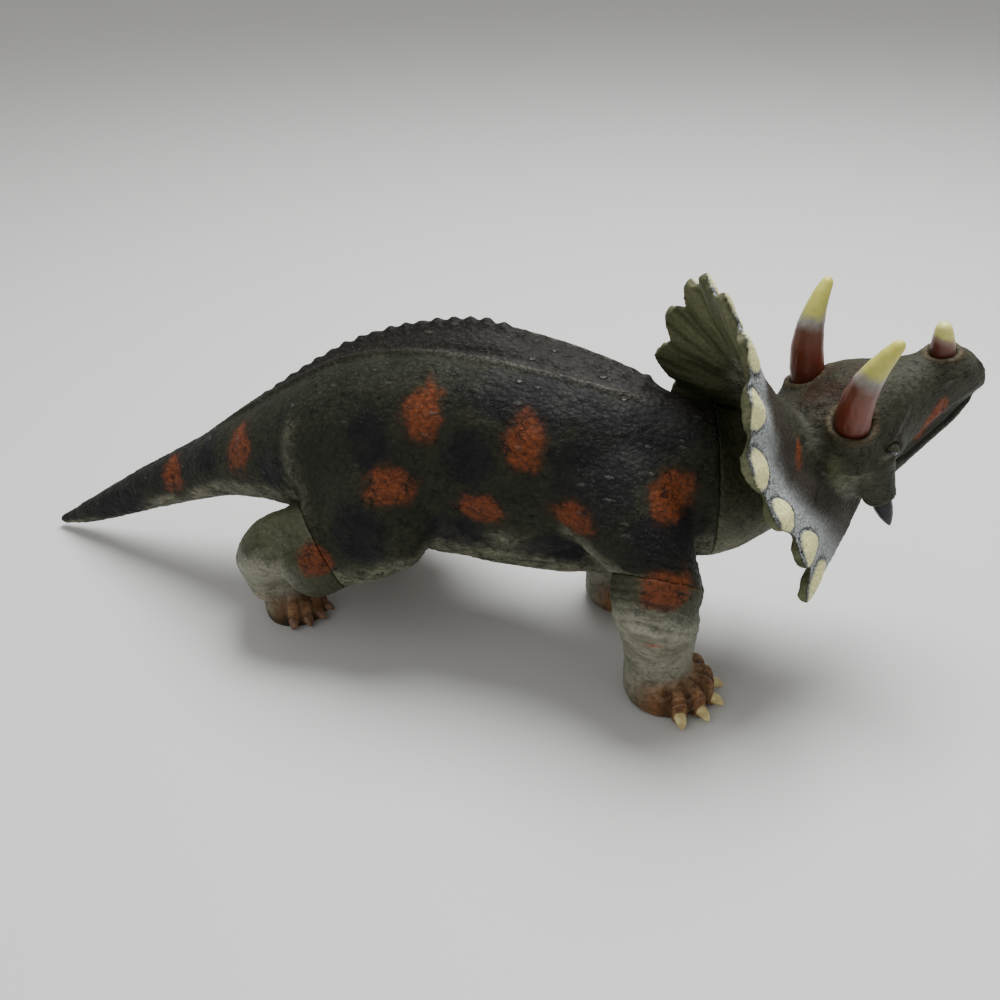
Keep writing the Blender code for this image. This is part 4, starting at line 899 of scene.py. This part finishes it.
# In the head's own frame, in millimetres, for the right side; the left side mirrors them.
# Each stroke: path, width and height of its relief
faceSet = {
    "relief": (
        (((60, -5, -21), (48, -10, -22), (34, -14, -25), (20, -18, -27.5), (8, -21, -28)), 0.9, -0.9),
        (((62, -3, -16), (50, -9, -16), (36, -13, -17), (24, -17, -20)), 1.6, 0.45),
        (((50, -7.5, -4), (53, -6.5, -5.5)), 1.2, -0.9),
        (((47, -8.5, -3), (50, -8.5, -1.5), (54, -7, -3)), 1.2, 0.4),
        (((24, -14, 1), (19, -17, -3), (13, -20, -7), (5, -22, -10), (-3, -23, -10)), 1.8, 0.7),
        (((23, -15, -21), (16, -18, -24), (8, -20, -23), (2, -22, -19)), 1.2, 0.35),
        (((-14, -24, -4), (-18, -22, -9), (-15, -24, -13)), 1.2, -0.5),
        (((-8, -22, 6), (-12, -20, 2), (-19, -18, 5)), 1.1, -0.7),
        (((-4, -20, 10), (-10, -18, 8), (-16, -16, 10)), 0.8, -0.5),
        (((-2, -14, 13), (-8, -13, 12), (-14, -10, 12)), 0.8, -0.45),
        (((-1, -9, 12), (-8, -8, 12), (-15, -6, 12)), 0.8, -0.4),
    ),
    # painted shade in the mouth line, nostrils and pits
    "dark": (
        (((60, -5, -21), (48, -10, -22), (34, -14, -25), (20, -18, -27.5), (8, -21, -28)), 1.2, 0.85),
        (((50, -7.5, -4), (53, -6.5, -5.5)), 1.1, 0.8),
        (((-21, -17, 6), (-19, -20, 4)), 3.0, 0.75),
        (((-24, -28, -15), (-22, -28, -17)), 3.0, 0.75),
        (((-18, -23, -8), (-19, -24, -12)), 2.2, 0.6),
    ),
    "orange": (
        (((45, -10, -10), (38, -11.5, -13.5), (31, -12.5, -19), (24, -13.5, -25)), 3.6, 1.7),
        (((-22, -17, 12), (-26, -24, 3), (-27, -28, -4)), 2.6, 0.85),
        (((-30, -36, -22), (-28, -36, -26)), 2.2, 0.6),
    ),
    "brown": (
        (((-10, -8, 12), (0, 0, 12), (10, 8, 12)), 14.0, 1.0),
        (((-10, -24, -30), (-14, -30, -50), (-20, -34, -64)), 9.0, 0.9),
        (((58, -2, -6), (62, 0, -10)), 4.5, 1.0),
    ),
    "bumps": (((-14, -24.5, -8), 2.6, 1.5), ((15, -21, -13), 4.2, 0.5)),
}


def faceStrokes(skin, local):
    # mouth line, brow and cheek folds, nostrils, knobs and wrinkles on both sides of the head, with painted
    # shade in the mouth line, nostrils and pits
    fields = {}
    for kind in ("relief", "dark", "orange", "brown"):
        total = np.zeros(len(local))
        for path, width, height in faceSet[kind]:
            for side in (1, -1):
                world = skin.onto(moreRows(headWorld([(x, y * side, z) for x, y, z in path]), 4))
                stroke = skin.stroke(world, width * mm, height, 0.30 if kind == "orange" else 0.12)
                total = total + stroke if kind == "relief" else np.maximum(total, stroke)
        fields[kind] = total
    for place, width, height in faceSet["bumps"]:
        for side in (1, -1):
            away = np.linalg.norm(local - np.array((place[0], place[1] * side, place[2])), axis=1)
            fields["relief"] = fields["relief"] + height * np.exp(-(away / width) ** 2)
    return fields["relief"], fields["dark"], fields["orange"], fields["brown"]


# lower legs
legSet = {
    "voxel": 0.8 * mm,
    "plugRadius": 9 * mm,
    # foot centre, toe directions in degrees, reach of the toes
    "front_right": ((115.42, -30.34), (-62, -33, -4, 25, 55), 24.2),
    "front_left": ((81.42, 31.70), (-55, -25, 4, 33, 62), 24.2),
    "hind_right": ((-61.38, -27.12), (-66, -40, -14, 12), 19.1),
    "hind_left": ((-44.38, 26.42), (-12, 14, 40, 66), 19.1),
    # orange patch from the seam's middle: place and half sizes
    "frontPatch": ((6, -18, 7.5), (11, 30, 8.5)),
    "hindPatch": ((8, -20, 5), (8.5, 30, 8)),
    "tones": {
        "skin": ((0.185, 0.183, 0.128), (0.305, 0.300, 0.232)),
        "olive": (0.054, 0.056, 0.030),
        "foot": ((0.180, 0.074, 0.028), (0.330, 0.172, 0.076)),
        # dark brown of the painted shade near the ground
        "sole": (0.064, 0.042, 0.018),
        "rust": ((0.080, 0.018, 0.006), (0.200, 0.050, 0.016)),
        # dark of the painted shade in cracks, folds, rings and toe gaps
        "crack": (0.012, 0.010, 0.006),
        "scuff": (0.33, 0.10, 0.08),
        # pale of the painted highlights on the toe ridges
        "toeRing": (0.36, 0.25, 0.16),
    },
    # small pink scuff on the right front leg: x, z and half sizes
    "scuff": (113.5, 43.0, 3.2, 1.3),
}


def legPaint():
    tone = legSet["tones"]
    paint = Paint("paintedVinylLeg", Roughness=0.6, Specular_IOR_Level=0.2)
    mottle = paint.cloud(paint.place(), 120, 4)
    fine, pebbles, cracks, dashes = vinylGrain(paint, 0.8)
    paint.colour = paint.mix(paint.step(mottle, 0.3, 0.7), *tone["skin"])
    olive = paint.step(paint.mask("olive") + (fine - 0.5) * 0.6 + (mottle - 0.5) * 0.8, 0.2, 0.85)
    paint.cover(olive, tone["olive"])
    paint.cover("foot", paint.mix(paint.step(mottle, 0.35, 0.65), *tone["foot"]))
    # painted shade on the foot near the ground
    paint.cover("sole", tone["sole"])
    rustEdge = paint.step(paint.mask("orange") + (fine - 0.5) * 0.8 + (mottle - 0.5) * 0.5, 0.15, 1.0)
    paint.cover(rustEdge * 0.9, paint.mix(paint.step(fine, 0.3, 0.7), *tone["rust"]))
    # painted shade in the cracks of the orange patches
    paint.cover(cracks * paint.mask("orange") * 0.8, tone["crack"])
    paint.cover(paint.mask("scuff") * paint.step(fine, 0.3, 0.6), tone["scuff"])
    # painted highlights on the raised toe ridges
    toeHighlightEdge = paint.step(paint.mask("ridges") + (fine - 0.5) * 0.4, 0.35, 0.9)
    paint.cover(toeHighlightEdge * 0.55, tone["toeRing"])
    # painted shade in the rings, folds, toe gaps and cracks; below, colour darker at the pebbles' edges
    paint.cover((paint.mask("pit") * 0.75 + cracks * 0.35).clamped(), tone["crack"])
    paint.feed("Base Color", paint.shade(paint.colour, 0.68 + pebbles * 0.45))
    paint.feed("Roughness", 0.50 + paint.step(mottle, 0.3, 0.7) * 0.14)
    paint.feed("Normal", paint.bump(pebbles * 0.4 - cracks * 0.4 + fine * 0.3, 0.32 * mm, 0.8))
    return paint.material


def makeLeg(place, paint, claws):
    joint = jointNamed(place + "_swivel")
    foot, toes, reach = legSet[place]
    hind = place.startswith("hind")
    plugs = [(joint, legSet["plugRadius"])]
    skin = Skin(place + "LegSkin", denseMesh("leg_" + place, legSet["voxel"], plugs, True))
    axis = np.array(joint["axis"])
    seam = np.array(joint["pos_m"])
    depth = (skin.points - seam) @ axis
    z = skin.points[:, 2]
    skin.snap(joint, 0.6 * mm, 0.04 * mm)
    weight = (0.02 + 0.98 * smooth(depth, 0.6 * mm, 4 * mm)) * (0.10 + 0.90 * smooth(z, 12 * mm, 20 * mm))
    skin.relax(36, weight)
    skin.relax(2, 0.5 * smooth(depth, 0.2 * mm, 1.5 * mm))

    depth = (skin.points - seam) @ axis / mm
    x, y, z = (skin.points / mm).T
    wobble = cloudField(skin.points, 9 * mm, 4) * 1.6
    rings = np.zeros(len(x))
    for height, strength in ((3.2, 0.6), (6.0, 0.8), (9.2, 0.9), (13.0, 0.6), (17.5, 0.9), (22.0, 0.4)):
        rings += strength * np.exp(-((depth + wobble - height) / 0.75) ** 2)
    broken = smooth(cloudField(skin.points, 11 * mm, 14), -0.25, 0.25)
    rings = rings * (0.25 + 0.75 * broken) * (0.45 if hind else 1.0)
    calm = smooth(depth, 0.3, 2.0) * smooth(z, 1.0, 4.0)
    gap = cellField(skin.points, 2.6 * mm, 2)
    folds = 1 - abs(cloudField(skin.points / np.array((1.6, 1.6, 0.7)), 4.5 * mm, 6)) * 2.4
    outFar = np.hypot(x - foot[0], y - foot[1])
    toeMask = (1 - smooth(z, 11.0, 20.0)) * smooth(outFar + (x - foot[0]) * 0.7, 7.0, 16.0)
    toeRings = toeMask * smooth(np.sin(outFar * 2.6), 0.0, 0.9) * smooth(folds, -1.2, 0.4)
    way = np.degrees(np.arctan2(y - foot[1], x - foot[0]))
    toeGap = np.min([abs(way - toe) for toe in toes], axis=0)
    between = smooth(toeGap, 7, 13) * (1 - smooth(toeGap, 18, 30)) * toeMask
    between = between * smooth(outFar, 9, 14)
    relief = smooth(gap, 0.02, 0.5) * 0.12 - smooth(folds, 0.65, 1.0) * 0.22
    relief += toeRings * 0.14 - rings * 0.62 - between * 0.8
    skin.lift(relief * calm * mm)
    out = skin.points[:, :2] / mm - np.array(foot)
    far = np.linalg.norm(out, axis=1)
    blunt = reach - clawSet["length"] + 1.6
    shorter = np.where((far > blunt) & (skin.points[:, 2] < 13 * mm), blunt + (far - blunt) * 0.3, far)
    skin.points[:, :2] = (np.array(foot) + out * (shorter / np.maximum(far, 1e-6))[:, None]) * mm
    skin.points[:, 2] = np.maximum(skin.points[:, 2], 0)

    skin.paint("foot", toeMask * (0.9 if hind else 1.0))
    # painted shade near the ground, strong on the hind feet
    skin.paint("sole", (1 - smooth(z, 1.0, 9.0)) * (0.9 if hind else 0.25))
    olive = 1 - smooth(depth, 3.0, 36.0 if hind else 23.0)
    if hind:
        upper = smooth(skin.normals[:, 2] + wobble * 0.2, -0.7, 0.8) * smooth(z, 20, 36)
        olive = np.maximum(olive, upper * 0.85)
    skin.paint("olive", olive)
    skin.paint("orange", seamPatch(skin, place))
    scuffX, scuffZ, wide, high = legSet["scuff"]
    scuff = np.exp(-((x - scuffX) / wide) ** 2 - ((z - scuffZ) / high) ** 2) * (y < -40)
    skin.paint("scuff", scuff * (place == "front_right"))
    # painted highlights on the raised toe ridges, fainter on the hind feet
    skin.paint("ridges", toeRings * (0.3 if hind else 0.8))
    # painted shade in the folds, the carved rings and the gaps between the toes
    dentShade = np.maximum(smooth(folds, 0.75, 1.0) * 0.4, np.clip(rings, 0, 1) * 0.75) * calm
    skin.paint("pit", np.maximum(dentShade, between * 0.75))
    skin.done(paint, place, "leg_" + place)
    makeClaws(place, foot, toes, reach - (1.2 if hind else 0.0), claws)


clawSet = {
    "length": 7.4,        # millimetres, its root inside the toe
    "width": 5.4,
    "height": 5.0,
    "tip": 0.2,
    # way along the claw, width share, height share, height of its middle in millimetres
    "rows": (
        (0.0, 0.80, 0.80, 4.3), (0.10, 1.00, 1.00, 4.4), (0.45, 0.95, 0.92, 4.0),
        (0.75, 0.74, 0.72, 3.2), (0.93, 0.42, 0.40, 2.3), (1.0, 0.14, 0.12, 1.9),
    ),
    "sides": 16,
    "frontTones": ((0.52, 0.40, 0.17), (0.74, 0.68, 0.30)),
    "hindTones": ((0.11, 0.045, 0.025), (0.27, 0.15, 0.08)),
}


def clawPaint(name, tones):
    paint = Paint(name, Roughness=0.4, Specular_IOR_Level=0.5)
    blur = paint.cloud(paint.place(), 260, 3)
    paint.feed("Base Color", paint.mix(paint.step(blur, 0.3, 0.65), *tones))
    paint.feed("Normal", paint.bump(paint.cloud(paint.place((1, 1, 3)), 900, 3), 0.08 * mm, 0.6))
    return paint.material


def makeClaws(place, foot, toes, reach, material):
    for index, angle in enumerate(toes):
        turn = math.radians(angle)
        out = Vector((math.cos(turn), math.sin(turn), 0))
        side = Vector((-out.y, out.x, 0))
        length = clawSet["length"]
        start = reach + clawSet["tip"] - length
        shape = bmesh.new()
        loops = []
        for way, wide, high, middle in clawSet["rows"]:
            centre = Vector((*foot, middle)) + out * (start + way * length)
            loop = []
            for step in range(clawSet["sides"]):
                spin = 2 * math.pi * step / clawSet["sides"]
                point = centre + side * (math.cos(spin) * wide * clawSet["width"] / 2)
                point.z += math.sin(spin) * high * clawSet["height"] / 2
                loop.append(shape.verts.new(point * mm))
            loops.append(loop)
        for loopA, loopB in zip(loops, loops[1:]):
            for i in range(len(loopA)):
                j = (i + 1) % len(loopA)
                shape.faces.new((loopA[i], loopA[j], loopB[j], loopB[i]))
        shape.faces.new(loops[0])
        shape.faces.new(loops[-1])
        bmesh.ops.recalc_face_normals(shape, faces=shape.faces)
        claw = objectFrom(shape, f"{place}Claw{index + 1}")
        claw.data.materials.append(material)
        rounder = claw.modifiers.new("rounder", "SUBSURF")
        rounder.levels = rounder.render_levels = 2
        claw.data.shade_smooth()
        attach(claw, place)


# horns, spikes and eyes
hornSet = {
    "voxel": 0.45 * mm,
    "length": {
        "brow_horn_left": 42.0, "brow_horn_right": 42.0, "nose_horn": 12.5,
        "cheek_spike_left": 11.5, "cheek_spike_right": 11.5,
    },
    "flare": 0.8 * mm,
    # way along a horn and the colour there
    "stops": (
        (0.00, (0.045, 0.012, 0.007)), (0.28, (0.150, 0.028, 0.012)), (0.48, (0.140, 0.052, 0.034)),
        (0.57, (0.250, 0.235, 0.215)), (0.66, (0.490, 0.470, 0.110)), (1.00, (0.620, 0.590, 0.105)),
    ),
    "noseStops": (
        (0.00, (0.045, 0.012, 0.007)), (0.35, (0.110, 0.030, 0.016)), (0.50, (0.280, 0.190, 0.140)),
        (0.62, (0.600, 0.580, 0.170)), (1.00, (0.700, 0.680, 0.220)),
    ),
    "spikeTones": ((0.006, 0.006, 0.008), (0.022, 0.022, 0.028)),
    # where each piece leaves the head, in millimetres
    "seats": {
        "brow_horn_left": (151.84, 30.91, 123.02), "brow_horn_right": (171.56, 2.55, 118.96),
        "nose_horn": (199.62, 40.91, 136.31), "cheek_spike_left": (158.39, 49.33, 90.55),
        "cheek_spike_right": (186.64, 8.71, 84.74),
    },
}


def hornPaint(name, stops):
    paint = Paint(name, Roughness=0.42, Specular_IOR_Level=0.5)
    place = paint.place()
    wobble = paint.cloud(place, 160, 3)
    along = paint.mask("along") + (wobble - 0.5) * 0.16
    tone = paint.node("ShaderNodeValToRGB", {"stops": stops}, {"Fac": along})
    paint.feed("Base Color", paint.shade(tone, 0.80 + paint.cloud(place, 420, 3) * 0.4))
    paint.feed("Roughness", 0.34 + wobble * 0.2)
    paint.feed("Normal", paint.bump(paint.cloud(place, 900, 3), 0.07 * mm, 0.6))
    return paint.material


def spikePaint():
    paint = Paint("paintedSpike", Roughness=0.30, Specular_IOR_Level=0.25)
    place = paint.place()
    paint.feed("Base Color", paint.mix(paint.cloud(place, 300, 3), *hornSet["spikeTones"]))
    paint.feed("Normal", paint.bump(paint.cloud(place, 700, 3), 0.08 * mm, 0.6))
    return paint.material


def makeHorn(nodeName, material, grooves):
    skin = Skin(nodeName.replace("_", "") + "Skin", denseMesh(nodeName, hornSet["voxel"], [], False))
    skin.relax(14)
    seat = np.array(hornSet["seats"][nodeName]) * mm
    away = np.linalg.norm(skin.points - seat, axis=1) / mm
    along = away / hornSet["length"][nodeName]
    skin.lift(hornSet["flare"] * (1 - smooth(along, 0.02, 0.14)))
    if grooves:
        lines = cloudField(skin.points / np.array((1.0, 1.0, 5.0)), 1.6 * mm, 3)
        skin.lift(-smooth(lines, 0.1, 0.5) * 0.12 * mm * (1 - smooth(along, 0.5, 0.9)))
    lean = (headLocal(skin.points) - headLocal(seat[None, :]))[:, 0] / 5.0
    skin.paint("along", along + (0.16 * np.clip(lean, -1, 1) - 0.04 if nodeName == "nose_horn" else 0.0))
    skin.done(material, "head", nodeName)


eyeSet = {
    "eye_left": (162.26, 44.18, 111.16),
    "eye_right": (185.99, 10.07, 106.28),
    "radius": 4.1,
    "lid": 0.5,
    "rim": 5.2,
    "lidTones": ((0.024, 0.025, 0.015), (0.042, 0.043, 0.028)),
    "irisTones": ((0.07, 0.06, 0.09), (0.20, 0.18, 0.25)),
    "pupilTone": (0.004, 0.004, 0.005),
}


def eyePaint():
    paint = Paint("glossyEye", Specular_IOR_Level=0.25)
    place = paint.place()
    blur = paint.cloud(place, 300, 3)
    grain = paint.cells(place, 900)
    paint.colour = paint.mix(paint.step(blur, 0.3, 0.7), *eyeSet["lidTones"])
    paint.cover("slit", paint.mix(blur, *eyeSet["irisTones"]))
    paint.cover("pupil", eyeSet["pupilTone"])
    paint.feed("Base Color", paint.colour)
    paint.feed("Roughness", 0.55 - paint.mask("slit") * 0.42)
    paint.feed("Coat Weight", paint.mask("slit") * 0.8)
    paint.feed("Normal", paint.bump(grain * (1.0 - paint.mask("slit")), 0.45 * mm, 1.0))
    return paint.material


def makeEye(nodeName, side, material):
    centre = Vector(eyeSet[nodeName]) * mm
    shape = bmesh.new()
    radius = (eyeSet["radius"] - eyeSet["lid"]) * mm
    bmesh.ops.create_uvsphere(shape, u_segments=96, v_segments=64, radius=radius)
    shape.transform(Matrix.Translation(centre))
    mesh = bpy.data.meshes.new(nodeName + "Ball")
    shape.to_mesh(mesh)
    shape.free()
    skin = Skin(nodeName.replace("_", "") + "Ball", mesh)
    normals = headLocalNormals(skin)
    along = normals[:, 0] * 0.85 - normals[:, 2] * 0.5
    across = normals[:, 2] * 0.85 + normals[:, 0] * 0.5
    outer = smooth(side * normals[:, 1], 0.1, 0.5)
    almond = (along / 0.62) ** 2 + ((across - 0.15) / 0.21) ** 2
    slit = (1 - smooth(almond, 0.75, 1.1)) * outer
    skin.lift((1 - slit) * eyeSet["lid"] * mm)
    skin.paint("slit", slit)
    skin.paint("pupil", (1 - smooth((along / 0.18) ** 2 + ((across - 0.15) / 0.20) ** 2, 0.6, 1.0)) * outer)
    skin.done(material, "head", nodeName)


makeStudio()
print("studio ready")
makeBody()
makeHead()
frontClaws = clawPaint("paintedFrontClaw", clawSet["frontTones"])
hindClaws = clawPaint("paintedHindClaw", clawSet["hindTones"])
legMaterial = legPaint()
for legPlace in ("front_right", "front_left"):
    makeLeg(legPlace, legMaterial, frontClaws)
for legPlace in ("hind_right", "hind_left"):
    makeLeg(legPlace, legMaterial, hindClaws)
hornMaterial = hornPaint("paintedHorn", hornSet["stops"])
makeHorn("brow_horn_left", hornMaterial, True)
makeHorn("brow_horn_right", hornMaterial, True)
makeHorn("nose_horn", hornPaint("paintedNoseHorn", hornSet["noseStops"]), False)
spikeMaterial = spikePaint()
makeHorn("cheek_spike_left", spikeMaterial, False)
makeHorn("cheek_spike_right", spikeMaterial, False)
eyeMaterial = eyePaint()
makeEye("eye_left", 1, eyeMaterial)
makeEye("eye_right", -1, eyeMaterial)
print("all pieces made")
